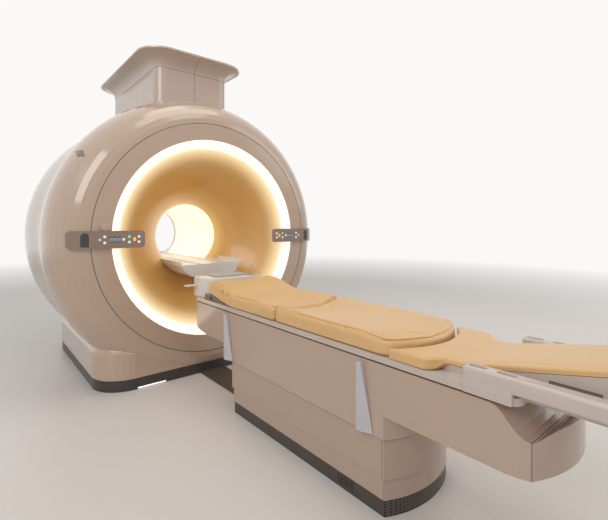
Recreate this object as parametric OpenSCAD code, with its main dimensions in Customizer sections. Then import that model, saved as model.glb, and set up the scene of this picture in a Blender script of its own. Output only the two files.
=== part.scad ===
// Magnetic resonance scanner with its patient table, in millimetres.
// The origin is on the floor under the middle of the bore.
// +Z is up, +Y runs from the table into the bore, +X is to the right of someone who faces the bore.

/* [Bore and funnel] */
// Height of the bore's axis above the floor
iso_h = 1117; // [1105:1:1130]
// Inner radius of the bore tube
bore_r = 290; // [284:1:296]
// Wall of the bore tube
bore_wall = 5; // [4:0.5:7]
// Radius of the lit mouth at the front
glow_r = 800; // [790:1:810]
// Depth of the front funnel
funnel_depth = 576; // [560:1:600]
// How strongly the funnel curves, 1 is a plain cone
funnel_bow = 1.4; // [1.2:0.05:1.6]
// Wall of the funnels and the light diffuser
funnel_wall = 5; // [4:0.5:7]
// Share of the funnel's depth that the light diffuser covers
glow_share = 0.1; // [0.08:0.01:0.14]
// Radius of the mouth at the rear
rear_mouth_r = 430; // [400:1:460]
// Depth of the rear funnel
rear_depth = 230; // [200:1:260]
// Distance of the lower funnel panel's top seam from the bore axis
panel_arc_r = 472; // [450:1:490]
// Height of the lower funnel panel's corners below the axis
panel_peak_drop = 395; // [390:1:398]
// Height of the same panel's outer ends below the axis
panel_end_drop = 505; // [480:1:530]

/* [Gantry covers] */
// Length of the gantry along the bore
gantry_len = 1760; // [1720:2:1800]
// Radius of the seam between fascia and front cover
fascia_r = 934; // [925:1:945]
// Largest radius of the front cover
body_r = 1184; // [1170:1:1195]
// How far the waist between the two bulges draws in
waist_in = 64; // [50:1:78]
// How much smaller the rear bulge is
rear_in = 8; // [0:1:18]
// Length of the rounded front edge
nose_len = 360; // [340:1:380]
// Distance of the waist from the front
waist_at = 800; // [760:1:840]
// Distance of the front cover's rear seam from the front
front_seam = 320; // [300:1:340]
// Distance of the rear cover's seam from the front
rear_seam = 1520; // [1480:1:1560]
// Wall of the moulded covers
cover_wall = 6; // [4:0.5:8]
// Open seam between two covers
seam = 0.6; // [0.4:0.1:0.8]
// Width of the lower middle front cover
lower_cover_w = 688; // [640:2:720]

/* [Plinth] */
// How far the plinth's sides stand in from the covers' radius
plinth_in = 316; // [303:1:329]
// Height of the kick plate
kick_h = 84; // [76:1:90]
// How far the kick plate stands back from the covers
kick_inset = 4; // [3:0.5:5]
// Wall of the kick plate
kick_wall = 8; // [6:1:10]
// Corner radius of the plinth in plan
plinth_corner = 240; // [220:1:260]
// How far the plinth's front stands back from the fascia
plinth_set = 40; // [30:1:50]
// Height of the plinth's upright side
plinth_h = 270; // [255:1:280]
// Height of the sloped shoulder above it
shoulder_h = 80; // [70:1:90]

/* [Turret] */
// Width of the turret on top
turret_w = 684; // [660:2:700]
// Distance of the turret's front from the gantry's front
turret_at = 391; // [380:1:400]
// Distance of the turret's back from the gantry's back
turret_end = 39; // [30:1:60]
// Corner radius of the turret
turret_corner = 90; // [80:1:110]
// Height of the turret above the round covers
turret_rise = 403; // [389:1:419]
// Height of the flared rim above its seam
rim_rise = 123; // [115:1:130]
// How far the rim flares out
rim_flare = 138; // [120:1:150]
// Wall of the turret covers
turret_wall = 6; // [5:0.5:8]

/* [Magnet] */
// Gap between the vacuum vessel and the waist of the covers
vessel_gap = 90; // [80:1:110]
// Radius of the vessel's own warm bore
vessel_bore_r = 470; // [462:1:480]
// Length of the vacuum vessel
vessel_len = 1120; // [1100:2:1130]
// Wall of the vacuum vessel
vessel_wall = 12; // [10:1:14]
// Outer radius of the gradient coil
gradient_r = 455; // [450:1:460]
// Inner radius of the gradient coil
gradient_bore_r = 345; // [342:1:350]
// Length of the gradient coil
gradient_len = 800; // [780:2:810]
// Inner radius of the body coil's tube
body_coil_r = 306; // [303:0.5:310]
// Radial room that the body coil takes
body_coil_t = 18; // [14:1:22]
// Length of the body coil
body_coil_len = 520; // [500:2:530]
// Outer radius of the quench pipe
quench_r = 75; // [70:1:80]
// Distance between the anchor bolts of the magnet feet across the gantry
anchor_x = 900; // [860:2:940]
// Distance between the same bolts along the bore
anchor_y = 900; // [860:2:930]
// Radius of an anchor hole in a magnet foot
anchor_r = 11; // [9:0.5:13]

/* [Control panels] */
// Height of a control panel
panel_h = 124; // [118:1:130]
// Length of a control panel
panel_len = 501; // [490:1:508]
// How far a panel's outer end stays inside the covers
panel_margin = 106; // [94:1:118]
// Thickness of a panel
panel_t = 20; // [18:1:24]
// Corner radius of a panel's ends
panel_corner = 28; // [20:1:34]
// Radius of a round button
button_r = 9.5; // [8:0.5:10]
// How far a button stands out
button_out = 3; // [2.5:0.5:4]
// Play around a button
button_play = 0.3; // [0.2:0.05:0.5]
// Depth of a button's pocket
pocket_depth = 9; // [8:0.5:11]

/* [Bridge and duct] */
// Width of the bridge that carries the tabletop into the bore
bridge_w = 556; // [552:2:560]
// Height of the bridge's top edges
bridge_h = 920; // [915:1:924]
// Depth of the bridge's moulding
bridge_t = 122; // [110:1:126]
// How far the bridge starts behind the gantry's front
bridge_at = 40; // [30:1:60]
// Width of the floor duct cover
duct_w = 220; // [200:2:240]
// Height of the floor duct cover
duct_h = 8; // [6:1:12]

/* [Table base] */
// Width of the table's beam
beam_w = 528; // [520:2:536]
// Step from one telescoping skirt to the next
skirt_step = 9; // [8:0.5:11]
// Wall of the skirts
skirt_wall = 4; // [3:0.5:5]
// Head end of the upper skirt
skirt_head = -1572; // [-1590:1:-1560]
// Length of the upper skirt's straight sides
skirt_len = 1278; // [1250:2:1300]
// Bulge of the skirts' foot end
skirt_bulge = 72; // [60:1:84]
// Height of the table's kick plate
foot_h = 72; // [64:1:80]
// Height of the lower skirt seam
seam_low = 163; // [158:1:170]
// Height of the upper skirt seam
seam_high = 334; // [330:1:340]
// Radius of a lift guide rod
rod_r = 50; // [45:1:55]
// Distance between the two lift columns
column_gap = 620; // [580:2:660]
// Distance between the table's anchor bolts across
table_anchor_x = 340; // [320:2:360]
// Distance of the same bolts from the ends of the floor plate
table_anchor_in = 69; // [50:1:80]

/* [Table beam] */
// Height of the beam's underside
beam_bottom = 434; // [428:1:440]
// Height of the beam's top
beam_top = 647; // [643:1:650]
// Wall of the beam's covers
beam_wall = 5; // [4:0.5:6]
// Head end of the beam
beam_head = -977; // [-990:1:-960]
// Foot end of the beam's side covers
beam_foot = -3410; // [-3420:1:-3400]
// Depth of the beam's foot cap
cap_depth = 60; // [50:1:70]
// Height of the beam's foot cap
cap_h = 118; // [110:1:124]
// Distance of the head fins from the beam's head
fin_at = 575; // [560:1:590]
// Distance between the fins of one side
fin_gap = 1168; // [1150:2:1180]
// How far a fin stands out
fin_out = 26; // [20:1:30]

/* [Tabletop] */
// Width of the tabletop
top_w = 536; // [530:2:540]
// Gap between beam and tabletop
top_gap = 9; // [7:0.5:11]
// Thickness of the tabletop's edge
top_t = 26; // [22:1:30]
// Head end of the tabletop
top_head = -990; // [-1000:1:-985]
// Length of the tabletop
top_len = 2810; // [2780:2:2840]
// How deep the tabletop is dished in the middle
top_dish = 10; // [6:1:12]
// Height of the foot rail above the tabletop's underside
rail_rise = 94; // [90:1:100]
// Width of the foot rail
rail_w = 58; // [50:1:64]
// Height of the foot rail's bar
rail_t = 54; // [48:1:58]
// Length of the foot rail along the table
rail_len = 600; // [580:2:620]
// Length of the box under each end of the rail
rail_box_len = 165; // [150:1:180]
// Slope of the leg rest under the foot mattress
leg_slope = 0.2125; // [0.19:0.0025:0.23]

/* [Mattresses and coils] */
// Width of the mattresses
mattress_w = 540; // [530:2:544]
// Thickness of the mattresses
mattress_t = 76; // [70:1:82]
// Start of the head mattress, from the tabletop's head end
mattress_at = 290; // [284:1:300]
// Length of the head mattress
head_len = 796; // [780:2:810]
// Distance from the rail's head end to the foot corners of the middle mattress
pad_stop = 330; // [320:1:345]
// Gap between two mattresses
mattress_gap = 8; // [5:1:12]
// Rise of the head mattress at its head end
head_rise = 54; // [46:1:58]
// Thickness of the foot mattress
foot_t = 22; // [18:1:28]
// Height of the leg rest above the tabletop at its head end
leg_base = 21; // [18:1:24]
// Height of the head coil's base
coil_base_h = 143; // [130:1:150]
// Width of the head coil's base
coil_base_w = 504; // [490:2:520]
// Thickness of the flexible coil
flex_t = 12; // [9:1:14]
// Diameter of the coil's cable
cable_d = 10; // [8:0.5:12]

/* [Hidden] */
$fn = 192;

// Running values
touch = 0.3;
over = 20;
front_y = -gantry_len / 2;
back_y = gantry_len / 2;
waist_r = body_r - waist_in;
rear_r = body_r - rear_in;
vessel_r = waist_r - vessel_gap;
nose_rise = body_r - fascia_r;
rear_len = nose_len;
arc_n = 9;
wave_n = 6;
side_n = 16;
glow_n = 4;

// Places along the covers
front_seam_y = front_y + front_seam;
rear_seam_y = front_y + rear_seam;
plinth_half = body_r - plinth_in;
plinth_front = front_y + plinth_set;
plinth_back = back_y - plinth_set;
turret_front = front_y + turret_at;
turret_back = back_y - turret_end;
rim_h = iso_h + body_r + turret_rise;
turret_seam_h = rim_h - rim_rise;

// Turns a profile of radius and place along the bore about the bore's axis.
module about_bore() {
    translate([0, 0, iso_h]) rotate([-90, 0, 0]) rotate_extrude() children();
}

// A straight tube about the bore's axis.
module bore_ring(r_out, r_in, y0, y1) {
    about_bore() translate([r_in, y0]) square([r_out - r_in, y1 - y0]);
}

// A full cylinder about the bore's axis.
module bore_plug(r, y0, y1) {
    translate([0, y0, iso_h]) rotate([-90, 0, 0]) cylinder(r = r, h = y1 - y0);
}

// A block between two corners.
module block(low, high) {
    translate(low) cube(high - low);
}

// Points along a part of an ellipse.
function ellipse_arc(c, rx, ry, from, to, n) = [
    for (i = [0:n])
        let (a = from + (to - from) * i / n)
        [c[0] + rx * cos(a), c[1] + ry * sin(a)]
];

// Points along a soft step from one radius to another.
function soft_step(y0, r0, y1, r1, n) = [
    for (i = [1:n])
        [r0 + (r1 - r0) * (1 - cos(180 * i / n)) / 2, y0 + (y1 - y0) * i / n]
];

// Moves points outwards in radius.
function grown(points, g) = [for (p = points) [p[0] + g, p[1]]];

function reversed(points) = [for (i = [len(points) - 1:-1:0]) points[i]];

// Outer line of the covers, grown by g.
function cover_line(g) = concat(
    ellipse_arc([fascia_r, front_y + nose_len], nose_rise + g, nose_len + g, -90, 0, arc_n),
    grown(soft_step(front_y + nose_len, body_r, front_y + waist_at, waist_r, wave_n), g),
    grown(soft_step(front_y + waist_at, waist_r, back_y - rear_len, rear_r, wave_n), g),
    ellipse_arc([fascia_r, back_y - rear_len], rear_r - fascia_r + g, rear_len + g, 90 / arc_n, 90, arc_n - 1)
);

module body_disc(g) {
    about_bore() polygon(concat([[0, front_y - g]], cover_line(g), [[0, back_y + g]]));
}

// Plan of a rectangle with round corners.
module round_plan(half, y0, y1, r) {
    translate([-half, y0 + r]) square([2 * half, y1 - y0 - 2 * r]);
    translate([-half + r, y0]) square([2 * half - 2 * r, y1 - y0]);
    for (x = [-half + r, half - r])
        for (y = [y0 + r, y1 - r])
            translate([x, y]) circle(r = r);
}

module plinth_slab(g, inset, z0, z1) {
    translate([0, 0, z0]) linear_extrude(z1 - z0)
        round_plan(plinth_half + g - inset, plinth_front - g + inset, plinth_back + g - inset,
            plinth_corner + g - inset, $fn = 32);
}

// The plinth, with a sloped shoulder that runs into the round body.
module plinth_block(g) {
    hull() {
        plinth_slab(g, 0, kick_h - over, plinth_h);
        plinth_slab(g, shoulder_h * 0.9, plinth_h, plinth_h + shoulder_h + g);
    }
}

module cover_body(g) {
    body_disc(g);
    plinth_block(g);
}

// The opening in the round covers under the turret, inside its walls.
module turret_opening() {
    set_in = turret_corner / 2;
    half = turret_w / 2 - set_in;
    block([-half, turret_front + set_in, iso_h], [half, turret_back - set_in, rim_h]);
}

// The thin outer wall of all the gantry covers, before it is parted.
module cover_shell() {
    difference() {
        cover_body(0);
        cover_body(-cover_wall);
        bore_plug(fascia_r + seam / 2, front_y - over, back_y + over);
        block([-body_r - over, front_y - over, -over - kick_h], [body_r + over, back_y + over, kick_h + touch]);
    }
}

// The slab of space between two places along the bore.
module between(y0, y1, z0 = 0, z1 = rim_h) {
    block([-body_r - over, y0, z0], [body_r + over, y1, z1]);
}

// Front view of the lower middle cover, with gently bent side seams.
module lower_cover_plan(g) {
    bend = 7;
    top = iso_h - fascia_r * 0.8;
    line = [for (i = [0:8]) [lower_cover_w / 2 + g + bend * cos(180 * i / 8), kick_h + (top - kick_h) * i / 8]];
    rotate([90, 0, 0]) linear_extrude(2 * gantry_len, center = true)
        polygon(concat(line, [for (p = reversed(line)) [-p[0], p[1]]]));
}

module front_cover() {
    color([0.80, 0.74, 0.68]) difference() {
        intersection() {
            cover_shell();
            between(front_y - over, front_seam_y - seam / 2);
        }
        lower_cover_plan(seam / 2);
    }
}

module lower_front_cover() {
    color([0.80, 0.74, 0.68]) intersection() {
        cover_shell();
        between(front_y - over, front_seam_y - seam / 2);
        lower_cover_plan(-seam / 2);
    }
}

// Outer line of the covers between two places along the bore, grown by g.
function part_line(g, y0, y1) =
    let (
        line = cover_line(g),
        radius_at = [for (p = line) [p[1], p[0]]]
    )
    concat(
        [[lookup(y0, radius_at), y0]],
        [for (p = line) if (p[1] > y0 && p[1] < y1) p],
        [[lookup(y1, radius_at), y1]]
    );

// The two round side covers, which meet on top in front of the turret.
module side_covers() {
    y0 = front_seam_y + seam / 2;
    y1 = rear_seam_y - seam / 2;
    color([0.82, 0.76, 0.71]) difference() {
        about_bore() polygon(concat(part_line(0, y0, y1), reversed(part_line(-cover_wall, y0, y1))));
        between(y0 - over, y1 + over, iso_h - body_r - over, plinth_h + seam / 2);
        turret_opening();
        block([-seam / 2, y0 - over, iso_h], [seam / 2, turret_front + turret_corner, rim_h]);
    }
}

// Flat side panels of the plinth, with the sloped shoulders that run into the round covers.
module plinth_panels() {
    color([0.82, 0.76, 0.71]) difference() {
        intersection() {
            plinth_block(0);
            between(front_seam_y + seam / 2, rear_seam_y - seam / 2, kick_h + touch);
        }
        plinth_block(-cover_wall);
        body_disc(touch);
    }
}

module rear_cover() {
    color([0.82, 0.76, 0.71]) difference() {
        intersection() {
            cover_shell();
            between(rear_seam_y + seam / 2, back_y + over);
        }
        turret_opening();
    }
}

// Kick plate ring around the foot of the gantry, with a light strip let into its front.
module gantry_kick() {
    notch_w = 220;
    notch_h = 14;
    notch_x = -500;
    half = plinth_half - kick_inset;
    y0 = plinth_front + kick_inset;
    y1 = plinth_back - kick_inset;
    r = plinth_corner - kick_inset;
    color([0.30, 0.28, 0.27]) difference() {
        linear_extrude(kick_h) round_plan(half, y0, y1, r);
        translate([0, 0, -over]) linear_extrude(kick_h + 2 * over)
            round_plan(half - kick_wall, y0 + kick_wall, y1 - kick_wall, r - kick_wall);
        block([notch_x - notch_w / 2, y0 - over, -over], [notch_x + notch_w / 2, y0 + kick_wall / 4, notch_h]);
    }
}

// Inner line of the front funnel from share t0 to share t1 of its depth, grown by g.
function funnel_line(t0, t1, g, n) = [
    for (i = [0:n])
        let (t = t0 + (t1 - t0) * i / n)
        [bore_r + (glow_r - bore_r) * pow(1 - t, funnel_bow) + g, front_y + funnel_depth * t]
];

funnel_end_y = front_y + funnel_depth;
rear_start_y = back_y - rear_depth;

// Inner line of the rear funnel, from the bore to the mouth, grown by g.
function rear_line(g, n) = [
    for (i = [0:n])
        let (t = i / n)
        [bore_r + (rear_mouth_r - bore_r) * pow(t, 2) + g, rear_start_y + rear_depth * t]
];

// Front view of the lower funnel panel.
module funnel_panel_plan(g) {
    peak_x = sqrt(pow(panel_arc_r, 2) - pow(panel_peak_drop, 2));
    tilt = asin(peak_x / panel_arc_r);
    inner = [
        for (i = [0:8])
            let (a = -tilt + 2 * tilt * i / 8)
            [(panel_arc_r - g) * sin(a), iso_h - (panel_arc_r - g) * cos(a)]
    ];
    wide = glow_r - 150;
    rotate([90, 0, 0]) linear_extrude(2 * gantry_len, center = true)
        polygon(concat(
            inner,
            [
                [wide, iso_h - panel_end_drop + g], [wide, -over],
                [-wide, -over], [-wide, iso_h - panel_end_drop + g]
            ]
        ));
}

wall_share = glow_share + seam / funnel_depth;

module funnel_wall_ring() {
    about_bore() polygon(concat(
        funnel_line(wall_share, 1, 0, side_n),
        reversed(funnel_line(wall_share, 1, funnel_wall, side_n))
    ));
}

module front_funnel() {
    color([0.93, 0.80, 0.55]) difference() {
        funnel_wall_ring();
        funnel_panel_plan(seam / 2);
    }
}

module funnel_panel() {
    color([0.95, 0.84, 0.62]) intersection() {
        funnel_wall_ring();
        funnel_panel_plan(-seam / 2);
    }
}

// Glowing diffuser at the rim of the funnel, with the flange that carries it behind the fascia.
module light_ring() {
    flange = 26;
    end = funnel_line(0, glow_share, funnel_wall, glow_n)[glow_n];
    color([1, 0.96, 0.85]) about_bore() polygon(concat(
        funnel_line(0, glow_share, 0, glow_n),
        [end, [glow_r + flange, end[1]], [glow_r + flange, end[1] - funnel_wall]],
        [[glow_r + funnel_wall * 2, end[1] - funnel_wall], [glow_r + funnel_wall * 2, front_y + over]],
        [[glow_r - touch, front_y + over]],
        [[glow_r - touch, front_y]]
    ));
}

module front_fascia() {
    lip = over - touch;
    back_lip = 34;
    t = cover_wall;
    crown = 4;
    outer = fascia_r - seam / 2;
    color([0.86, 0.80, 0.74]) about_bore() polygon([
        [glow_r, front_y + lip], [glow_r, front_y + crown], [glow_r + crown, front_y],
        [outer - crown, front_y], [outer, front_y + crown / 2], [outer, front_y + back_lip],
        [outer - t, front_y + back_lip], [outer - t, front_y + t], [glow_r + t, front_y + t],
        [glow_r + t, front_y + lip]
    ]);
}

module rear_funnel() {
    t = funnel_wall;
    outer = fascia_r - seam / 2;
    line = rear_line(0, side_n);
    back = rear_line(t, side_n);
    color([0.86, 0.82, 0.76]) about_bore() polygon(concat(
        line,
        [[outer, back_y], [outer, back_y - t]],
        [for (p = reversed(back)) [p[0], min(p[1], back_y - t)]]
    ));
}

// Section round a rounded rectangle: points hold the distance outwards and the height.
module moulding(half, y0, y1, r, points) {
    for (side = [0, 1]) {
        mirror([side, 0, 0]) {
            translate([half - r, y1 - r, 0]) rotate_extrude(angle = 90)
                polygon([for (p = points) [r + p[0], p[1]]]);
            translate([half - r, y0 + r, 0]) rotate([0, 0, -90]) rotate_extrude(angle = 90)
                polygon([for (p = points) [r + p[0], p[1]]]);
            translate([half, y1 - r, 0]) rotate([90, 0, 0]) linear_extrude(y1 - y0 - 2 * r) polygon(points);
        }
    }
    translate([-half + r, y1, 0]) rotate([90, 0, 90]) linear_extrude(2 * half - 2 * r) polygon(points);
    translate([-half + r, y0, 0]) mirror([0, 1, 0]) rotate([90, 0, 90]) linear_extrude(2 * half - 2 * r)
        polygon(points);
}

module turret_parting() {
    block([-seam / 2, turret_front - rim_flare - over, 0],
        [seam / 2, turret_back + rim_flare + over, rim_h + over]);
}

module turret_walls() {
    color([0.84, 0.78, 0.73]) difference() {
        moulding(turret_w / 2, turret_front, turret_back, turret_corner, [
            [-turret_wall, iso_h + fascia_r], [0, iso_h + fascia_r],
            [0, turret_seam_h - seam / 2], [-turret_wall, turret_seam_h - seam / 2]
        ]);
        body_disc(touch);
        turret_parting();
    }
}

// Flared rim that closes the turret against the ceiling.
module turret_rims() {
    lip = 14;
    n = 6;
    outside = [
        for (i = [0:n])
            let (a = 90 * i / n)
            [rim_flare * (1 - cos(a)), turret_seam_h + seam / 2 + (rim_rise - lip) * sin(a)]
    ];
    color([0.86, 0.80, 0.75]) difference() {
        moulding(turret_w / 2, turret_front, turret_back, turret_corner, concat(
            outside,
            [[rim_flare, rim_h], [rim_flare - turret_wall, rim_h]],
            [for (p = reversed(outside)) [p[0] - turret_wall, p[1]]]
        ));
        turret_parting();
    }
}

// Turret plate on the vessel that the cold head and the quench pipe stand on.
plate_half = 210;
plate_y0 = -300;
plate_y1 = 300;
plate_top = iso_h + vessel_r + 60;
neck_r = 60;
anchor_pad = 90;
pad_h = 24;
strut_w = 70;
spoke_w = 30;
mass_r = vessel_r - vessel_wall - 60;
mass_bore_r = vessel_bore_r + vessel_wall + 50;

module vacuum_vessel() {
    half = vessel_len / 2;
    color([0.86, 0.87, 0.88]) {
        difference() {
            union() {
                bore_ring(vessel_r, vessel_bore_r, -half, half);
                block([-plate_half, plate_y0, iso_h + vessel_r * 0.9], [plate_half, plate_y1, plate_top]);
                for (x = [-anchor_x / 2, anchor_x / 2])
                    for (y = [-anchor_y / 2, anchor_y / 2])
                        magnet_foot(x, y);
            }
            bore_ring(vessel_r - vessel_wall, vessel_bore_r + vessel_wall, vessel_wall - half, half - vessel_wall);
            translate([0, quench_y, iso_h + mass_r]) cylinder(r = neck_r, h = vessel_r);
            for (x = [-anchor_x / 2, anchor_x / 2])
                for (y = [-anchor_y / 2, anchor_y / 2])
                    translate([x + sign(x) * anchor_pad, y, -over])
                        cylinder(r = anchor_r, h = pad_h + 2 * over, $fn = 48);
        }
    }
}

// One floor foot: a strut up to the vessel and a pad with its anchor hole outside the strut.
module magnet_foot(x, y) {
    out = sign(x);
    reach = iso_h - sqrt(pow(vessel_r - vessel_wall / 2, 2) - pow(abs(x) + strut_w / 2, 2));
    block([x - strut_w / 2, y - strut_w, pad_h / 2], [x + strut_w / 2, y + strut_w, reach]);
    block(
        [min(x - out * anchor_pad, x + out * 1.8 * anchor_pad), y - anchor_pad, 0],
        [max(x - out * anchor_pad, x + out * 1.8 * anchor_pad), y + anchor_pad, pad_h]
    );
}

// Former with its superconducting windings, hung in the vessel on its spokes.
module cold_mass() {
    half = vessel_len / 2 - 70;
    former_t = 36;
    flange_t = 20;
    pack_w = 110;
    pack_t = 90;
    shield_t = 50;
    pitch = (2 * half - 2 * flange_t - pack_w - over) / 4;
    color([0.72, 0.50, 0.34]) {
        union() {
            bore_ring(mass_bore_r + former_t, mass_bore_r, -half, half);
            for (y = [-half, half - flange_t]) bore_ring(mass_r, mass_bore_r, y, y + flange_t);
            for (a = [45:90:315])
                for (y = [-half, half - flange_t])
                    translate([0, y + flange_t / 4, iso_h]) rotate([0, a, 0])
                        translate([-spoke_w / 2, 0, mass_r - spoke_w])
                        cube([spoke_w, flange_t / 2, vessel_r - vessel_wall - touch - mass_r + spoke_w]);
        }
        for (i = [-2:2])
            bore_ring(mass_bore_r + former_t + pack_t, mass_bore_r + former_t / 2, i * pitch - pack_w / 2,
                i * pitch + pack_w / 2);
        for (y = [flange_t / 2 - half, half - flange_t / 2 - pack_w])
            bore_ring(mass_r - flange_t / 2, mass_r - shield_t, y, y + pack_w);
    }
}

// The bands that carry the bore tube: one pair in the gradient coil and one in the body coil.
band_w = 40;
band_r = bore_r + bore_wall + touch;

module gradient_coil() {
    half = gradient_len / 2;
    lug = 70;
    color([0.78, 0.70, 0.50]) {
        bore_ring(gradient_r, gradient_bore_r, -half, half);
        for (y = [-half, half - lug])
            for (a = [45:90:315])
                translate([0, y, iso_h]) rotate([0, a, 0])
                    translate([-lug / 2, 0, gradient_r - lug / 4])
                    cube([lug, lug, vessel_bore_r - 2 - gradient_r + lug / 4]);
        for (y = [-half, half - lug / 2]) bore_ring(vessel_bore_r - touch, vessel_bore_r - 5, y, y + lug / 2);
        for (y = [funnel_end_y + touch, half - band_w / 2])
            bore_ring(gradient_bore_r + 1, band_r, y, y + band_w / 2);
    }
}

// Birdcage body coil: two end rings, its rungs and the bands that carry it in the gradient coil.
module body_coil() {
    half = body_coil_len / 2;
    ring_w = 50;
    tube_t = 4;
    rungs = 16;
    out_r = body_coil_r + body_coil_t;
    color([0.80, 0.55, 0.35]) {
        bore_ring(body_coil_r + tube_t, body_coil_r, -half, half);
        for (y = [-half, half - ring_w]) bore_ring(out_r, body_coil_r, y, y + ring_w);
        for (i = [0:rungs - 1])
            translate([0, -half, iso_h]) rotate([0, i * 360 / rungs, 0])
                translate([-14, 0, body_coil_r + tube_t / 2]) cube([28, 2 * half, body_coil_t / 2]);
        for (y = [-half, half - ring_w / 2]) bore_ring(gradient_bore_r - touch, body_coil_r, y, y + ring_w / 2);
        for (y = [ring_w - half, half - ring_w - band_w]) bore_ring(body_coil_r + 1, band_r, y, y + band_w);
    }
}

module bore_tube() {
    color([0.95, 0.93, 0.90])
        bore_ring(bore_r + bore_wall, bore_r, funnel_end_y + touch, rear_start_y - touch);
}

cold_y = -190;
quench_y = 110;

module cold_head() {
    color([0.70, 0.72, 0.75]) translate([0, cold_y, plate_top]) {
        cylinder(r = 95, h = 24);
        cylinder(r = 60, h = 190);
        translate([0, 0, 190]) cylinder(r = 80, h = 90);
        translate([0, 0, 235]) rotate([0, 90, 0]) cylinder(r = 34, h = 160);
    }
}

module quench_pipe() {
    color([0.75, 0.76, 0.78]) translate([0, quench_y, plate_top]) difference() {
        union() {
            cylinder(r = quench_r, h = rim_h - 10 - plate_top);
            cylinder(r = quench_r + 35, h = 20);
        }
        translate([0, 0, -over]) cylinder(r = quench_r - 4, h = rim_h);
    }
}

// Control panels. Each row is one button: distance from the panel's inner end, height from the axis, shape.
PANEL_KEYS = [
    [44, 19, "round"], [44, -19, "round"], [74, 0, "square"], [111, 19, "round"], [111, -19, "round"],
    [150, 0, "round"], [274, 21, "round"], [274, -21, "round"], [305, 0, "round"]
];
panel_out = body_r - panel_margin;
panel_in = panel_out - panel_len;
window_x = [for (out = [178, 206, 234]) panel_in + out];
window_w = 20;
window_h = 40;
arch_x = panel_out - 104;
arch_w = 50;
arch_h = 96;
arch_t = 4;
window_t = 3;
key_out = 1.4;

// How far back the cover line lies at a distance x from the middle.
function shoulder_y(x) = x <= fascia_r ? front_y
    : front_y + nose_len * (1 - sqrt(max(0, 1 - pow((x - fascia_r) / nose_rise, 2))));

panel_front = front_y - panel_t;

// Points along the shoulder, moved out by g.
function shoulder_line(g) = [
    for (i = [0:8])
        let (a = -90 + 35 * i / 8)
        [fascia_r + (nose_rise + g) * cos(a), front_y + nose_len + (nose_len + g) * sin(a)]
];

module panel_body() {
    shelf = 5;
    intersection() {
        translate([0, 0, iso_h - panel_h / 2]) linear_extrude(panel_h) polygon(concat(
            [[panel_in, panel_front], [fascia_r, panel_front]],
            shoulder_line(panel_t),
            reversed(shoulder_line(touch)),
            [[glow_r - 20, front_y - touch], [glow_r - 20, front_y - shelf], [panel_in, front_y - shelf]]
        ));
        translate([0, front_y + nose_len, iso_h]) rotate([90, 0, 0]) linear_extrude(nose_len + panel_t + over)
            translate([(panel_in + panel_out) / 2, 0])
                round_plan_flat(panel_out - panel_in, panel_h, panel_corner);
    }
}

module round_plan_flat(w, h, r) {
    square([w - 2 * r, h], center = true);
    square([w, h - 2 * r], center = true);
    for (x = [r - w / 2, w / 2 - r])
        for (y = [r - h / 2, h / 2 - r])
            translate([x, y]) circle(r = r);
}

module key_shape(k, g, y0, y1) {
    translate([panel_in + k[0], y1, iso_h + k[1]]) rotate([90, 0, 0]) {
        if (k[2] == "square")
            translate([0, 0, (y1 - y0) / 2])
                cube([2 * button_r - 2 + 2 * g, 2 * button_r + 4 + 2 * g, y1 - y0], center = true);
        else
            cylinder(r = button_r + g, h = y1 - y0, $fn = 48);
    }
}

// Where the arch window lies: a flat let into the panel's bent end.
arch_y = shoulder_y(arch_x) - panel_t + 1;

module arch_shape(g, y0, y1) {
    translate([arch_x, y1, iso_h]) rotate([90, 0, 0]) linear_extrude(y1 - y0) {
        translate([0, (arch_h - arch_w) / 2]) circle(d = arch_w + 2 * g);
        translate([-arch_w / 2 - g, -arch_h / 2 - g]) square([arch_w + 2 * g, arch_h - arch_w / 2 + g]);
    }
}

module control_panel() {
    color([0.66, 0.58, 0.53]) difference() {
        panel_body();
        for (k = PANEL_KEYS) key_shape(k, button_play, panel_front - over, panel_front + pocket_depth);
        for (x = window_x)
            block([x - window_w / 2, panel_front - over, iso_h - window_h / 2],
                [x + window_w / 2, panel_front + window_t, iso_h + window_h / 2]);
        arch_shape(0, arch_y - 3 * over, arch_y + arch_t + window_t);
    }
}

module panel_left() mirror([1, 0, 0]) control_panel();

module panel_right() control_panel();

module panel_windows() {
    color([0.12, 0.12, 0.14]) for (side = [0, 1]) mirror([side, 0, 0]) {
        for (x = window_x)
            block([x - window_w / 2 + touch, panel_front + touch, iso_h - window_h / 2 + touch],
                [x + window_w / 2 - touch, panel_front + window_t - touch / 2, iso_h + window_h / 2 - touch]);
        arch_shape(-touch, arch_y + arch_t, arch_y + arch_t + window_t - touch / 2);
    }
}

module button(i) {
    k = PANEL_KEYS[i];
    hue = i == 2 ? [0.95, 0.55, 0.10]
        : i == 3 ? [0.45, 0.85, 0.60]
        : i == 8 ? [0.80, 0.72, 0.85]
        : [0.92, 0.92, 0.94];
    color(hue) key_shape(k, 0, panel_front - button_out, panel_front + pocket_depth - button_out);
}

module left_button(i) mirror([1, 0, 0]) button(i);

// Everything inside the funnels and the bore tube, pulled in by g.
module bore_space(g) {
    about_bore() polygon(concat(
        [[0, front_y - over], [glow_r - g, front_y - over]],
        grown(funnel_line(0, glow_share, 0, glow_n), -g),
        grown(funnel_line(wall_share, 1, 0, side_n), -g),
        grown(rear_line(0, side_n), -g),
        [[0, back_y]]
    ));
}

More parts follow.
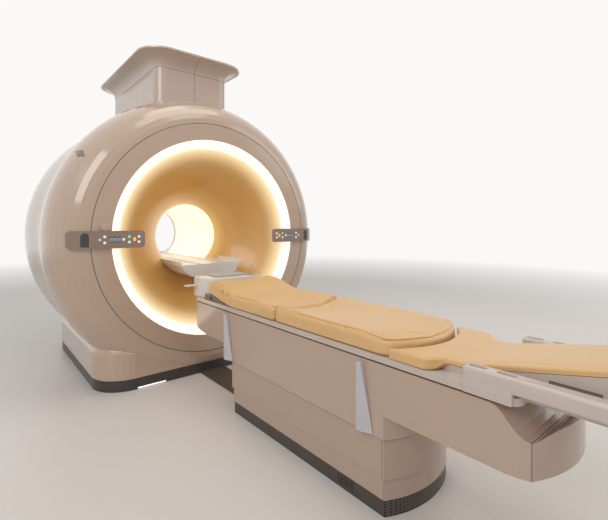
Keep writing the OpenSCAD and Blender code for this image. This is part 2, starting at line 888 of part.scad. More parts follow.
// Trough that takes over the tabletop from the table and carries it through the bore.
module bore_bridge() {
    half = bridge_w / 2;
    slope = 56;
    chine = 28;
    floor_z = beam_top + top_gap + lift_up - 6;
    lip = 6;
    groove = 14;
    bottom = bridge_h - bridge_t;
    color([0.94, 0.92, 0.90]) intersection() {
        difference() {
            translate([0, back_y - 10, 0]) rotate([90, 0, 0]) linear_extrude(gantry_len - bridge_at - 10) polygon([
                [-half, bridge_h], [-half, floor_z - lip], [-half + slope, bottom + chine],
                [-half + 1.7 * slope, bottom], [half - 1.7 * slope, bottom],
                [half - slope, bottom + chine], [half, floor_z - lip], [half, bridge_h],
                [half - lip, bridge_h], [half - lip, floor_z], [-half + lip, floor_z], [-half + lip, bridge_h]
            ]);
            for (x = [-110, 110])
                block([x - groove, front_y - over, floor_z - groove],
                    [x + groove, back_y + over, floor_z + over]);
        }
        bore_space(touch);
    }
}

module duct_cover() {
    frame_w = 16;
    y0 = skirt_head - 2 * skirt_step - skirt_wall + touch;
    y1 = plinth_front + kick_inset - touch;
    color([0.34, 0.30, 0.27]) difference() {
        block([-duct_w / 2, y0, 0], [duct_w / 2, y1, duct_h]);
        block([-duct_w / 2 + frame_w, y0 + frame_w, duct_h - 2],
            [duct_w / 2 - frame_w, y1 - frame_w, duct_h + over]);
    }
}

// Rise and drop of the table lift from the height that it rests at.
lift_up = 245;
lift_down = 160;

// Plan of a skirt, with g taken off the upper skirt's outline.
module skirt_plan(g) {
    half = beam_w / 2 - g;
    head = skirt_head - g;
    foot = skirt_head - skirt_len + g;
    corner = 30;
    sweep_r = (pow(beam_w / 2, 2) + pow(skirt_bulge, 2)) / (2 * skirt_bulge);
    translate([-half, foot]) square([2 * half, head - foot - corner]);
    translate([-half + corner, head - 2 * corner]) square([2 * half - 2 * corner, 2 * corner]);
    for (x = [-half + corner, half - corner]) translate([x, head - corner]) circle(r = corner);
    intersection() {
        translate([0, skirt_head - skirt_len - skirt_bulge + sweep_r]) circle(r = sweep_r - g);
        translate([-half, foot - 2 * skirt_bulge]) square([2 * half, 2 * skirt_bulge + over]);
    }
}

module skirt_ring(g, wall, z0, z1) {
    translate([0, 0, z0]) linear_extrude(z1 - z0) difference() {
        skirt_plan(g);
        skirt_plan(g + wall);
    }
}

module table_kick() {
    rows = 5;
    cols = 12;
    pitch = 9;
    hole_r = 3;
    wall = 8;
    inset = 2 * skirt_step + skirt_wall;
    half = beam_w / 2 - inset;
    start = skirt_head - skirt_len + 190;
    color([0.24, 0.24, 0.25]) difference() {
        skirt_ring(inset, wall, 0, foot_h);
        for (i = [0:cols - 1])
            for (j = [0:rows - 1])
                translate([over - half, start + i * pitch, foot_h / 2 + (j - (rows - 1) / 2) * pitch])
                    rotate([0, -90, 0]) cylinder(r = hole_r, h = 2 * over, $fn = 24);
    }
}

module lower_skirt() {
    color([0.78, 0.73, 0.70]) {
        skirt_ring(2 * skirt_step, skirt_wall, foot_h + touch, lower_top);
        skirt_ring(2 * skirt_step, skirt_wall + 12, foot_h + touch, foot_h + touch + 4);
        for (side = [0, 1]) mirror([side, 0, 0])
            for (y = slide_y)
                block([beam_w / 2 - 2 * skirt_step - 1, y - slide_half, seam_high - slide_drop],
                    [beam_w / 2 - skirt_step - skirt_wall - touch, y + slide_half, lower_top]);
    }
}

// Tops of the two inner skirts, so that they still overlap when the table is up.
lower_lap = 20;
middle_lap = 150;
lower_top = seam_high - lower_lap;
middle_top = seam_high + middle_lap;

// Slide blocks between the skirts: their distance from the skirts' ends, and their size.
slide_at = 200;
slide_half = 20;
slide_drop = 60;
slide_y = [skirt_head - slide_at, skirt_head - skirt_len + slide_at];

module middle_skirt() {
    color([0.80, 0.75, 0.72]) {
        skirt_ring(skirt_step, skirt_wall, seam_low, middle_top);
        for (side = [0, 1]) mirror([side, 0, 0])
            for (y = slide_y)
                block([beam_w / 2 - skirt_step - 1, y - slide_half, middle_top - middle_lap + slide_drop],
                    [beam_w / 2 - max(skirt_wall, beam_wall) - touch, y + slide_half, middle_top]);
    }
}

column_y = skirt_head - skirt_len / 2 - skirt_bulge / 2;
column_top = beam_top - beam_wall - lift_down - 12;
tube_wall = 9;
plate_t = 12;

// Floor plate with the two lift columns, the screw drive's housing and the anchor holes.
module table_base() {
    half = beam_w / 2 - 60;
    length = skirt_len - 100;
    color([0.55, 0.57, 0.60]) difference() {
        union() {
            translate([-half, column_y - length / 2, 0]) cube([2 * half, length, plate_t]);
            for (y = [column_y - column_gap / 2, column_y + column_gap / 2])
                translate([0, y, 0]) cylinder(r = rod_r + tube_wall, h = column_top);
            translate([0, column_y, 0]) cylinder(r = 70, h = 150);
            block([-45, column_y - column_gap / 2, 0], [45, column_y + column_gap / 2, 60]);
        }
        for (y = [column_y - column_gap / 2, column_y + column_gap / 2])
            translate([0, y, plate_t]) cylinder(r = rod_r + 2 * touch, h = rim_h);
        for (x = [-table_anchor_x / 2, table_anchor_x / 2])
            for (y = [table_anchor_in - length / 2, length / 2 - table_anchor_in])
                translate([x, column_y + y, -over]) cylinder(r = 7, h = 3 * over, $fn = 48);
    }
}

nose_run = 323;
nose_drop = 87;
swoop_len = 120;

// Side view of the beam as distance along and height, pulled in by g.
function beam_side(g) = concat(
    [[beam_foot + g, beam_bottom + g]],
    [for (i = [0:8])
        let (a = -90 + 90 * i / 8)
        [beam_head - nose_run + (nose_run - g) * cos(a),
            beam_top - nose_drop + (beam_top - nose_drop - beam_bottom - g) * sin(a)]],
    [[beam_head - g, beam_top - g]],
    [for (i = [0:6])
        [beam_foot + swoop_len * (1 - i / 6) + (i == 6 ? g : 0),
            beam_top - g - (beam_top - beam_bottom - cap_h) * (1 - cos(180 * i / 6)) / 2]]
);

// Plan of the beam: a round nose and a foot that draws in.
module beam_plan(g) {
    half = beam_w / 2 - g;
    nose = 150;
    taper = 70;
    draw_in = 20;
    translate([-half, beam_foot + taper]) square([2 * half, beam_head - beam_foot - nose - taper]);
    translate([nose - beam_w / 2, beam_head - nose - over]) square([beam_w - 2 * nose, nose + over - g]);
    for (x = [nose - beam_w / 2, beam_w / 2 - nose]) translate([x, beam_head - nose]) circle(r = nose - g);
    polygon([
        [-half, beam_foot + taper + over], [-half, beam_foot + taper],
        [-half + draw_in * 0.35, beam_foot + taper / 2], [-half + draw_in, beam_foot + g],
        [half - draw_in, beam_foot + g], [half - draw_in * 0.35, beam_foot + taper / 2],
        [half, beam_foot + taper], [half, beam_foot + taper + over]
    ]);
}

module beam_hull(g) {
    intersection() {
        rotate([90, 0, 90]) linear_extrude(beam_w + 2 * over, center = true) polygon(beam_side(g));
        translate([0, 0, beam_bottom - over]) linear_extrude(beam_top - beam_bottom + 2 * over) beam_plan(g);
    }
}

// Beam covers with the upper skirt, and the two guide rods that run in the lift columns.
module beam() {
    color([0.80, 0.74, 0.70]) {
        difference() {
            union() {
                beam_hull(0);
                translate([0, 0, seam_high]) linear_extrude(beam_bottom + over - seam_high) skirt_plan(0);
            }
            beam_hull(beam_wall);
            translate([0, 0, seam_high - over]) linear_extrude(beam_bottom + 2 * over - seam_high)
                skirt_plan(skirt_wall);
        }
        for (y = [column_y - column_gap / 2, column_y + column_gap / 2])
            translate([0, y, lift_down + plate_t + over])
                cylinder(r = rod_r, h = beam_top - 2 - lift_down - plate_t - over);
    }
}

// Open foot cap behind the beam's side covers.
module beam_cap() {
    half = beam_w / 2 - 20;
    cap_r = (pow(half, 2) + pow(cap_depth, 2)) / (2 * cap_depth);
    rise = 24;
    color([0.80, 0.75, 0.71]) difference() {
        translate([0, 0, beam_bottom]) linear_extrude(cap_h + rise) cap_plan(half, cap_r, 0);
        translate([0, 0, beam_bottom + beam_wall]) linear_extrude(cap_h + 2 * rise)
            cap_plan(half, cap_r, beam_wall);
        translate([0, beam_foot, beam_bottom + cap_h]) rotate([0, 90, 0])
            cylinder(r = rise, h = beam_w, center = true);
    }
}

module cap_plan(half, cap_r, g) {
    intersection() {
        translate([0, beam_foot - cap_depth + cap_r]) circle(r = cap_r - g);
        translate([-half - over, beam_foot - cap_depth - over])
            square([2 * half + 2 * over, cap_depth + over - touch]);
    }
}

// Fin on the beam's side: a narrow upright edge and a foot that widens downwards.
module fin(y) {
    top = beam_top - 12;
    bottom = seam_high + 6;
    edge = 24;
    spread = 52;
    x0 = beam_w / 2;
    hull() {
        block([x0 + touch, y - edge, bottom], [x0 + fin_out, y, top]);
        block([x0 + touch, y - edge - spread, bottom], [x0 + 4, y, bottom + 4]);
    }
    for (z = [top - 30, top - 75])
        translate([x0 + fin_out - 1, y - edge / 2, z]) rotate([0, 90, 0]) cylinder(r = 8, h = 3.5, $fn = 32);
}

module beam_fins() {
    color([0.80, 0.83, 0.90]) for (side = [0, 1]) mirror([side, 0, 0])
        for (y = [beam_head - fin_at, beam_head - fin_at - fin_gap])
            fin(y);
}

top_z = beam_top + top_gap;
top_foot = top_head - top_len;

// Plan of the tabletop's flat part, which ends behind the rail's boxes.
module top_plan(r_head, r_foot) {
    half = top_w / 2;
    foot = rail_head - rail_box_len - 15;
    translate([-half, foot + r_foot]) square([2 * half, top_head - foot - r_head - r_foot]);
    for (x = [-1, 1]) {
        translate([x * (half - r_head), top_head - r_head]) circle(r = r_head);
        translate([x * (half - r_foot), foot + r_foot]) circle(r = r_foot);
    }
    translate([-half + r_head, top_head - r_head - over]) square([2 * half - 2 * r_head, r_head + over]);
    translate([-half + r_foot, foot]) square([2 * half - 2 * r_foot, r_foot + over]);
}

// Tabletop with a dished face, runners under it and the leg rest that slopes up to the foot.
module tabletop() {
    half = top_w / 2;
    rim = 24;
    runner = 40;
    runner_end = 200;
    top = top_z + top_t;
    dish = [
        for (i = [0:10])
            let (x = (half - rim) * (1 - 2 * i / 10))
            [x, top - top_dish * (1 + cos(180 * x / (half - rim))) / 2]
    ];
    color([0.84, 0.82, 0.82]) {
        intersection() {
            translate([0, top_head + over, 0]) rotate([90, 0, 0]) linear_extrude(top_len + 2 * over) polygon(concat(
                [[-half, top_z], [half, top_z], [half, top]], dish, [[-half, top]]
            ));
            translate([0, 0, top_z - over]) linear_extrude(top_t + 2 * over) top_plan(140, 40);
        }
        for (x = [-150, 150])
            block([x - runner / 2, beam_foot + runner_end, beam_top + touch],
                [x + runner / 2, beam_head - runner_end, top_z + 1]);
        intersection() {
            side_solid(leg_half, [
                [leg_head, top_z], [leg_head, leg_z(leg_head)], [leg_bend, leg_z(leg_bend)],
                [leg_foot - over, leg_z(leg_foot - over)], [leg_foot - over, top_z]
            ]);
            translate([0, 0, top_z - over]) linear_extrude(rim_h) round_plan(leg_half, leg_foot, leg_head + over, 50);
        }
    }
}

rail_out = 12;
rail_top = top_z + rail_rise;
rail_head = top_foot + rail_len;
rail_half = top_w / 2 + rail_out;
rail_foot = top_foot - 6;

// Leg rest: flat at its head end, then sloping up to the foot inside the rail.
leg_half = 190;
leg_head = rail_head + 210;
leg_bend = rail_head + 45;
leg_foot = rail_foot + rail_w + touch;

// Height of the leg rest's top at a place along the table.
function leg_z(y) = top_z + top_t + leg_base + max(0, leg_bend - y) * leg_slope;

// Rail that wraps round the leg rest, with hand holes and a box under each side.
module foot_rail() {
    hole_l = 62;
    hole_w = 24;
    hole_at = [45, 140];
    corner = 110;
    box_drop = 2;
    color([0.86, 0.84, 0.84]) difference() {
        union() {
            translate([0, 0, rail_top - rail_t]) linear_extrude(rail_t) difference() {
                round_plan(rail_half, rail_foot, rail_head + 2 * corner, corner);
                round_plan(rail_half - rail_w, rail_foot + rail_w, rail_head + 3 * corner, corner - rail_w);
                translate([-rail_half - over, rail_head]) square([2 * rail_half + 2 * over, 4 * corner]);
            }
            for (side = [0, 1]) mirror([side, 0, 0]) {
                block([rail_half - rail_w, rail_head - rail_box_len, top_z + top_t + touch],
                    [rail_half, rail_head, rail_top - rail_t + 1]);
                block([top_w / 2 + touch, rail_head - rail_box_len, top_z + box_drop],
                    [rail_half, rail_head, rail_top - rail_t + 1]);
            }
        }
        for (side = [-1, 1])
            for (y = hole_at)
                translate([side * (rail_half - rail_w / 2), rail_head - y, rail_top - rail_t * 0.55]) {
                    for (s = [-1, 1])
                        translate([0, s * (hole_l - hole_w) / 2, 0]) cylinder(d = hole_w, h = rail_t, $fn = 48);
                    translate([-hole_w / 2, (hole_w - hole_l) / 2, 0]) cube([hole_w, hole_l - hole_w, rail_t]);
                }
    }
}

pad_z = top_z + top_t + touch;
head_y = top_head - mattress_at;
head_end = head_y - head_len;
middle_y = head_end - mattress_gap;
middle_end = rail_head + pad_stop;

module side_solid(half, points) {
    rotate([90, 0, 90]) linear_extrude(2 * half, center = true) polygon(points);
}

// Length over which the head mattress rises.
lift_run = 300;

// Head mattress, lifted on its wedge at the head end.
module head_mattress() {
    ease = 90;
    color([0.93, 0.77, 0.56]) side_solid(mattress_w / 2, [
        [head_end, pad_z], [head_y - lift_run, pad_z], [head_y, pad_z + head_rise],
        [head_y - 14, pad_z + head_rise + mattress_t * 0.8], [head_y - ease, pad_z + head_rise + mattress_t],
        [head_y - lift_run - ease, pad_z + mattress_t], [head_end, pad_z + mattress_t]
    ]);
}

module head_wedge() {
    inset = 12;
    set_back = 22;
    ear_r = 16;
    ear_h = 36;
    ear_out = 74;
    half = mattress_w / 2 - inset;
    ear_x = half - ear_r;
    y0 = head_y - lift_run + inset;
    y1 = head_y - set_back;
    color([0.55, 0.50, 0.45]) side_solid(half, [
        [y0, pad_z], [y1, pad_z], [y1, pad_z + head_rise * (lift_run - set_back) / lift_run - 2 * touch],
        [y0, pad_z + head_rise * inset / lift_run - 2 * touch]
    ]);
    color([0.55, 0.50, 0.45]) for (side = [0, 1]) mirror([side, 0, 0]) {
        translate([ear_x, head_y + ear_out - ear_r, pad_z]) cylinder(r = ear_r, h = ear_h);
        block([ear_x - ear_r, head_y - 2 * ear_r, pad_z], [half, head_y + ear_out - ear_r, pad_z + ear_h]);
    }
}

// How far the foot end of the middle mattress bulges into the foot mattress, and the arc that it follows.
pad_bulge = 95;
bulge_r = (pow(mattress_w / 2, 2) + pow(pad_bulge, 2)) / (2 * pad_bulge);
bulge_y = middle_end - pad_bulge + bulge_r;

module middle_mattress() {
    half = mattress_w / 2;
    color([0.93, 0.77, 0.56]) translate([0, 0, pad_z]) linear_extrude(mattress_t) {
        translate([-half, middle_end]) square([2 * half, middle_y - middle_end]);
        intersection() {
            translate([0, bulge_y]) circle(r = bulge_r);
            translate([-half, middle_end - pad_bulge]) square([2 * half, pad_bulge + over]);
        }
    }
}

// Plan of the foot mattress: wide round the bulge of the middle one, then drawn in between the rails.
module foot_pad_plan() {
    wide = top_w / 2 + 4;
    narrow = leg_half + 6;
    y0 = middle_end - mattress_gap;
    y1 = rail_head + 170;
    y2 = rail_head + 80;
    y3 = rail_foot + rail_w + 10;
    polygon(concat(
        [[wide, y0], [wide, y1]],
        [for (i = [1:6]) [narrow + (wide - narrow) * (1 - sin(15 * i)), y2 + (y1 - y2) * cos(15 * i)]],
        [[narrow, y3], [-narrow, y3]],
        [for (i = [6:-1:1]) [-narrow - (wide - narrow) * (1 - sin(15 * i)), y2 + (y1 - y2) * cos(15 * i)]],
        [[-wide, y1], [-wide, y0]]
    ));
}

// Foot mattress: an even layer on the leg rest that slopes up with it, and thicker lobes beside its head end.
module foot_mattress() {
    wide = top_w / 2 + 4;
    y0 = middle_end;
    y2 = rail_head + 80;
    y3 = rail_foot + rail_w;
    color([0.93, 0.77, 0.56]) difference() {
        intersection() {
            side_solid(wide + over, [
                [y0, pad_z], [y2, pad_z], [y2, leg_z(y2) + touch],
                [leg_bend, leg_z(leg_bend) + touch], [y3, leg_z(y3) + touch],
                [y3, leg_z(y3) + foot_t], [leg_bend, leg_z(leg_bend) + foot_t], [y0, leg_z(y0) + foot_t]
            ]);
            translate([0, 0, pad_z]) linear_extrude(rim_h) foot_pad_plan();
        }
        block([-leg_half - touch, leg_foot, top_z], [leg_half + touch, leg_head + touch, leg_z(leg_head) + touch]);
        translate([0, bulge_y, pad_z - over]) cylinder(r = bulge_r + mattress_gap, h = rim_h);
    }
}

coil_y1 = top_head - 22;
coil_y0 = head_y + 12;

coil_top = pad_z + coil_base_h;
coil_bend = 110;
coil_drop = 65;
socket_x = 206;
socket_y = coil_y1 - 168;
socket_r = 20;
socket_top = coil_top - 6;

// How far the base's top has dropped at a distance x to the right of the bend.
function coil_fall(x) = max(0, x - coil_bend) * coil_drop / (coil_base_w / 2 - coil_bend);

// Base of the head coil: flat on top, sloping on the right where the socket stands, with a pull tab on the left.
module coil_base() {
    half = coil_base_w / 2;
    shoulder_y = coil_y1 - 128;
    cut_in = 47;
    bevel = 12;
    tab_z = pad_z + 78;
    tab_t = 8;
    tab_r = 34;
    tab_out = 60;
    color([0.96, 0.95, 0.93]) {
        intersection() {
            translate([0, 0, pad_z]) linear_extrude(coil_base_h + over) polygon([
                [-half, shoulder_y], [cut_in - half, coil_y0], [half - cut_in, coil_y0], [half, shoulder_y],
                [half, coil_y1 - bevel], [half - bevel, coil_y1], [bevel - half, coil_y1], [-half, coil_y1 - bevel]
            ]);
            translate([0, coil_y1 + over, 0]) rotate([90, 0, 0]) linear_extrude(coil_y1 - coil_y0 + 2 * over) polygon([
                [-half, pad_z], [half, pad_z], [half, coil_top - coil_drop], [coil_bend, coil_top],
                [bevel - half, coil_top], [-half, coil_top - bevel]
            ]);
        }
        translate([0, 0, tab_z]) linear_extrude(tab_t) {
            translate([-half - tab_out, coil_y1 - tab_r - bevel]) circle(r = tab_r);
            translate([-half - tab_out, coil_y1 - 2 * tab_r - bevel]) square([tab_out + over, 2 * tab_r]);
        }
        translate([socket_x, socket_y, pad_z + over]) cylinder(r = socket_r, h = socket_top - pad_z - over);
    }
}

// Flexible coil laid over the base and bent down with it on the right, with the boss that its cable leaves.
module flex_coil() {
    x0 = -150;
    x1 = 184;
    y0 = coil_y1 - 184;
    y1 = coil_y1 - 14;
    color([0.80, 0.81, 0.80]) {
        intersection() {
            translate([0, y1 + over, touch]) rotate([90, 0, 0]) linear_extrude(y1 - y0 + 2 * over) polygon([
                [x0, coil_top], [coil_bend, coil_top], [x1, coil_top - coil_fall(x1)],
                [x1, coil_top - coil_fall(x1) + flex_t], [coil_bend, coil_top + flex_t], [x0, coil_top + flex_t]
            ]);
            translate([(x0 + x1) / 2, 0, pad_z]) linear_extrude(coil_base_h + 2 * over)
                round_plan((x1 - x0) / 2, y0, y1, 30);
        }
        translate([CABLE_ROUTE[0][0], CABLE_ROUTE[0][1], coil_top + touch])
            cylinder(r = cable_d / 2 + 3, h = CABLE_ROUTE[0][2] - touch);
    }
}

// Route of the coil's cable, its height counted from the base's top: up out of the flexible coil,
// over in a low arch and down into its plug.
CABLE_ROUTE = [
    [104, -1042, 22], [104, -1042, 34], [107, -1046, 54], [116, -1054, 72], [130, -1067, 84], [147, -1084, 92],
    [164, -1102, 94], [180, -1121, 90], [193, -1140, 80], [202, -1158, 66], [206, -1172, 50], [206, -1180, 36],
    [206, -1180, 26]
];

function cable_point(i) = [CABLE_ROUTE[i][0], CABLE_ROUTE[i][1], coil_top + CABLE_ROUTE[i][2]];

function unit(v) = v / norm(v);

// Direction of the route at point i.
function cable_way(i) = unit(cable_point(min(i + 1, len(CABLE_ROUTE) - 1)) - cable_point(max(i - 1, 0)));

cable_sides = 10;

function cable_ring(i) =
    let (
        way = cable_way(i),
        side = unit(cross(way, [1, 0.2, 0.1])),
        up = cross(side, way)
    )
    [for (k = [0:cable_sides - 1])
        cable_point(i) + cable_d / 2 * (side * cos(360 * k / cable_sides) + up * sin(360 * k / cable_sides))];

module coil_cable() {
    rings = len(CABLE_ROUTE);
    points = [for (i = [0:rings - 1]) each cable_ring(i)];
    color([0.95, 0.94, 0.92]) polyhedron(points, concat(
        [[for (k = [0:cable_sides - 1]) k]],
        [for (i = [0:rings - 2])
            for (k = [0:cable_sides - 1])
                each let (
                    a = i * cable_sides + k,
                    b = (i + 1) * cable_sides + k,
                    c = (i + 1) * cable_sides + (k + 1) % cable_sides,
                    d = i * cable_sides + (k + 1) % cable_sides
                ) [[a, b, c], [a, c, d]]],
        [[for (k = [cable_sides - 1:-1:0]) (rings - 1) * cable_sides + k]]
    ));
}

module coil_plug() {
    color([0.93, 0.92, 0.90]) translate([socket_x, socket_y, socket_top + touch])
        cylinder(r = socket_r - 4, h = cable_point(len(CABLE_ROUTE) - 1)[2] - socket_top - touch);
}

vacuum_vessel();
cold_mass();
gradient_coil();
body_coil();
bore_tube();
cold_head();
quench_pipe();
front_funnel();
funnel_panel();
light_ring();
front_fascia();
front_cover();
lower_front_cover();
side_covers();
plinth_panels();
rear_cover();
rear_funnel();
gantry_kick();
turret_walls();
turret_rims();
panel_left();
panel_right();
panel_windows();
for (i = [0:len(PANEL_KEYS) - 1]) {
    left_button(i);
    button(i);
}
bore_bridge();
duct_cover();
table_base();
table_kick();
lower_skirt();
middle_skirt();
beam();
beam_cap();
beam_fins();
tabletop();
foot_rail();
head_mattress();
middle_mattress();
foot_mattress();
head_wedge();
coil_base();
flex_coil();
coil_cable();
coil_plug();
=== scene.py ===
import bpy
import bmesh
import math
from mathutils import Matrix, Vector


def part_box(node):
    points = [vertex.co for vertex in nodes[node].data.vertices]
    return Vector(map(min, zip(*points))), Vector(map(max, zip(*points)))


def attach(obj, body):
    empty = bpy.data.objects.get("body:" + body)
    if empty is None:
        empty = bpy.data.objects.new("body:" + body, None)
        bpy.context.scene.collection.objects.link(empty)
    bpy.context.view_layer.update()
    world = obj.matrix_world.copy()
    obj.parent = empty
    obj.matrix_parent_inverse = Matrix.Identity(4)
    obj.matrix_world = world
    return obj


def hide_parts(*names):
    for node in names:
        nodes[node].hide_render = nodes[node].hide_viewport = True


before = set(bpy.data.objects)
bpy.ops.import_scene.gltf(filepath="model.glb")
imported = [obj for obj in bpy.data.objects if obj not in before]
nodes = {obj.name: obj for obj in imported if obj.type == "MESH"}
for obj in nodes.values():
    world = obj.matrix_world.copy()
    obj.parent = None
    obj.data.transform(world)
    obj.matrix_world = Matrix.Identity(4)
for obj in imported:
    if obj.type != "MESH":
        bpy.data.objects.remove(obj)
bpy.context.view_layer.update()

boreAxis = Vector((0, 0, 1.117))  # the bore runs along Y at this height


# shared mesh helpers

def newObject(name, data):
    made = bpy.data.objects.new(name, data)
    bpy.context.scene.collection.objects.link(made)
    return made


def newPiece(name, bm, body, material, replaced=(), smoothAngle=35, tidy=True):
    # closes doubles, turns the faces outwards and hands the mesh to the frame
    if tidy:
        bmesh.ops.remove_doubles(bm, verts=bm.verts, dist=0.00005)
        bmesh.ops.recalc_face_normals(bm, faces=bm.faces)
    mesh = bpy.data.meshes.new(name)
    bm.to_mesh(mesh)
    bm.free()
    mesh.shade_smooth()
    mesh.set_sharp_from_angle(angle=math.radians(smoothAngle))
    piece = newObject(name, mesh)
    mesh.materials.append(material)
    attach(piece, body)
    if replaced:
        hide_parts(*replaced)
    return piece


def dress(material, *names):
    # gives CAD nodes their finish
    for name in names:
        for slotHere in nodes[name].material_slots:
            slotHere.material = material


def vertsOf(items):
    return [item for item in items if isinstance(item, bmesh.types.BMVert)]


def edgesOf(items):
    return [item for item in items if isinstance(item, bmesh.types.BMEdge)]


def sharpEdges(bm, angle):
    return [edge for edge in bm.edges if edge.calc_face_angle(0) > angle]


def roundEdges(bm, edges, offset, segments=3, clamp=False):
    bmesh.ops.bevel(bm, geom=edges, offset=offset, segments=segments, profile=0.5, affect="EDGES",
                    material=-1, clamp_overlap=clamp)


# shared material groups

def newGroup(name, inputs, outputs):
    # inputs holds the first value of each socket, and None for a vector
    group = bpy.data.node_groups.new(name, "ShaderNodeTree")
    for label, first in inputs.items():
        kind = "NodeSocketVector" if first is None else "NodeSocketFloat"
        socket = group.interface.new_socket(label, in_out="INPUT", socket_type=kind)
        if first is not None:
            socket.default_value = first
    for label in outputs:
        kind = "NodeSocketVector" if label == "Normal" else "NodeSocketFloat"
        group.interface.new_socket(label, in_out="OUTPUT", socket_type=kind)
    return group, group.nodes.new("NodeGroupInput"), group.nodes.new("NodeGroupOutput")


def feed(tree, node, values):
    # gives the inputs of a node their numbers, colours and links
    for label, value in values.items():
        if isinstance(value, (int, float)):
            node.inputs[label].default_value = value
        elif isinstance(value, tuple):
            node.inputs[label].default_value = (*value, 1)
        else:
            tree.links.new(value, node.inputs[label])


def mathNode(tree, operation, a, b=None, clamp=False):
    node = tree.nodes.new("ShaderNodeMath")
    node.operation = operation
    node.use_clamp = clamp
    feed(tree, node, {0: a} if b is None else {0: a, 1: b})
    return node.outputs[0]


def mixColour(tree, factor, a, b):
    node = tree.nodes.new("ShaderNodeMix")
    node.data_type = "RGBA"
    feed(tree, node, {0: factor, 6: a, 7: b})
    return node.outputs[2]


def lengthOf(tree, place):
    node = tree.nodes.new("ShaderNodeVectorMath")
    node.operation = "LENGTH"
    tree.links.new(place, node.inputs[0])
    return node.outputs["Value"]


skinShape = {"cloudScale": 1.7, "cloudDetail": 3, "peelHeight": 0.0004}


def buildSkinGroup():
    # fine orange peel and slow tone changes of a moulded, lacquered cover
    group, given, out = newGroup(
        "mouldedSkin", {"Vector": None, "Grain": 260.0, "Depth": 0.08, "Roughness": 0.25, "Spread": 0.06},
        ("Tone", "Roughness", "Normal"))
    place = given.outputs["Vector"]
    peel = group.nodes.new("ShaderNodeTexNoise")
    cloud = group.nodes.new("ShaderNodeTexNoise")
    bump = group.nodes.new("ShaderNodeBump")
    feed(group, peel, {"Vector": place, "Scale": given.outputs["Grain"]})
    feed(group, cloud, {"Vector": place, "Scale": skinShape["cloudScale"],
                        "Detail": skinShape["cloudDetail"]})
    feed(group, bump, {"Distance": skinShape["peelHeight"], "Strength": given.outputs["Depth"],
                       "Height": peel.outputs["Fac"]})
    uneven = mathNode(group, "SUBTRACT", cloud.outputs["Fac"], 0.5)
    spread = mathNode(group, "MULTIPLY", uneven, given.outputs["Spread"])
    rough = mathNode(group, "ADD", given.outputs["Roughness"], spread)
    feed(group, out, {"Tone": cloud.outputs["Fac"], "Roughness": rough, "Normal": bump.outputs["Normal"]})
    return group


def buildSeamGroup():
    # mask of a thin line where a coordinate passes a set place
    group, given, out = newGroup("seamLine", {"Coordinate": 0.0, "Place": 0.0, "Width": 0.002}, ("Mask",))
    away = mathNode(group, "SUBTRACT", given.outputs["Coordinate"], given.outputs["Place"])
    share = mathNode(group, "DIVIDE", mathNode(group, "ABSOLUTE", away), given.outputs["Width"])
    feed(group, out, {"Mask": mathNode(group, "SUBTRACT", 1.0, share, clamp=True)})
    return group


skinGroup = buildSkinGroup()
seamGroup = buildSeamGroup()


def newMaterial(name, colour, roughness=0.4, metallic=0.0, coat=0.0, coatRoughness=0.08):
    material = bpy.data.materials.new(name)
    material.use_nodes = True
    shader = material.node_tree.nodes["Principled BSDF"]
    feed(material.node_tree, shader, {"Base Color": colour, "Roughness": roughness, "Metallic": metallic,
                                      "Coat Weight": coat, "Coat Roughness": coatRoughness})
    return material, material.node_tree, shader


def objectPlace(tree):
    # the place in the object's own space, whole and by axis
    where = tree.nodes.new("ShaderNodeTexCoord")
    split = tree.nodes.new("ShaderNodeSeparateXYZ")
    tree.links.new(where.outputs["Object"], split.inputs[0])
    return where.outputs["Object"], split.outputs


def placeGroup(tree, group, values):
    node = tree.nodes.new("ShaderNodeGroup")
    node.node_tree = group
    feed(tree, node, values)
    return node


def addSkin(tree, shader, place, grain, depth, roughness, spread, bumpy=True):
    # links the moulded skin to a shader and gives back its slow change of tone
    skin = placeGroup(tree, skinGroup, {"Vector": place, "Grain": grain, "Depth": depth,
                                        "Roughness": roughness, "Spread": spread})
    tree.links.new(skin.outputs["Roughness"], shader.inputs["Roughness"])
    if bumpy:
        tree.links.new(skin.outputs["Normal"], shader.inputs["Normal"])
    return skin.outputs["Tone"]


def radialPlace(tree, axes):
    # distance from the bore's axis
    far = tree.nodes.new("ShaderNodeCombineXYZ")
    feed(tree, far, {0: axes[0], 1: mathNode(tree, "SUBTRACT", axes[2], boreAxis.z)})
    return lengthOf(tree, far.outputs[0])


def boxMask(tree, axes, low, high):
    # one inside a box of the object's own space
    mask = None
    for axis in range(3):
        middle, reach = (low[axis] + high[axis]) / 2, (high[axis] - low[axis]) / 2
        away = mathNode(tree, "ABSOLUTE", mathNode(tree, "SUBTRACT", axes[axis], middle))
        inside = mathNode(tree, "LESS_THAN", away, reach)
        mask = inside if mask is None else mathNode(tree, "MULTIPLY", mask, inside)
    return mask


# boxes painted dark: painted shade of shallow recesses on the nose cover and the leg rest
recessShadeBoxes = {"nose": (((-0.985, -0.9, 1.699), (-0.948, -0.5, 1.754)),),
               "legRest": (((-0.2, -3.58, 0.729), (-0.18, -3.44, 0.745)),)}
# darkness of the painted shade along seams and in recesses, as a share of the cover's colour
paintedShadeShare = {"seam": 0.22, "recess": 0.3}


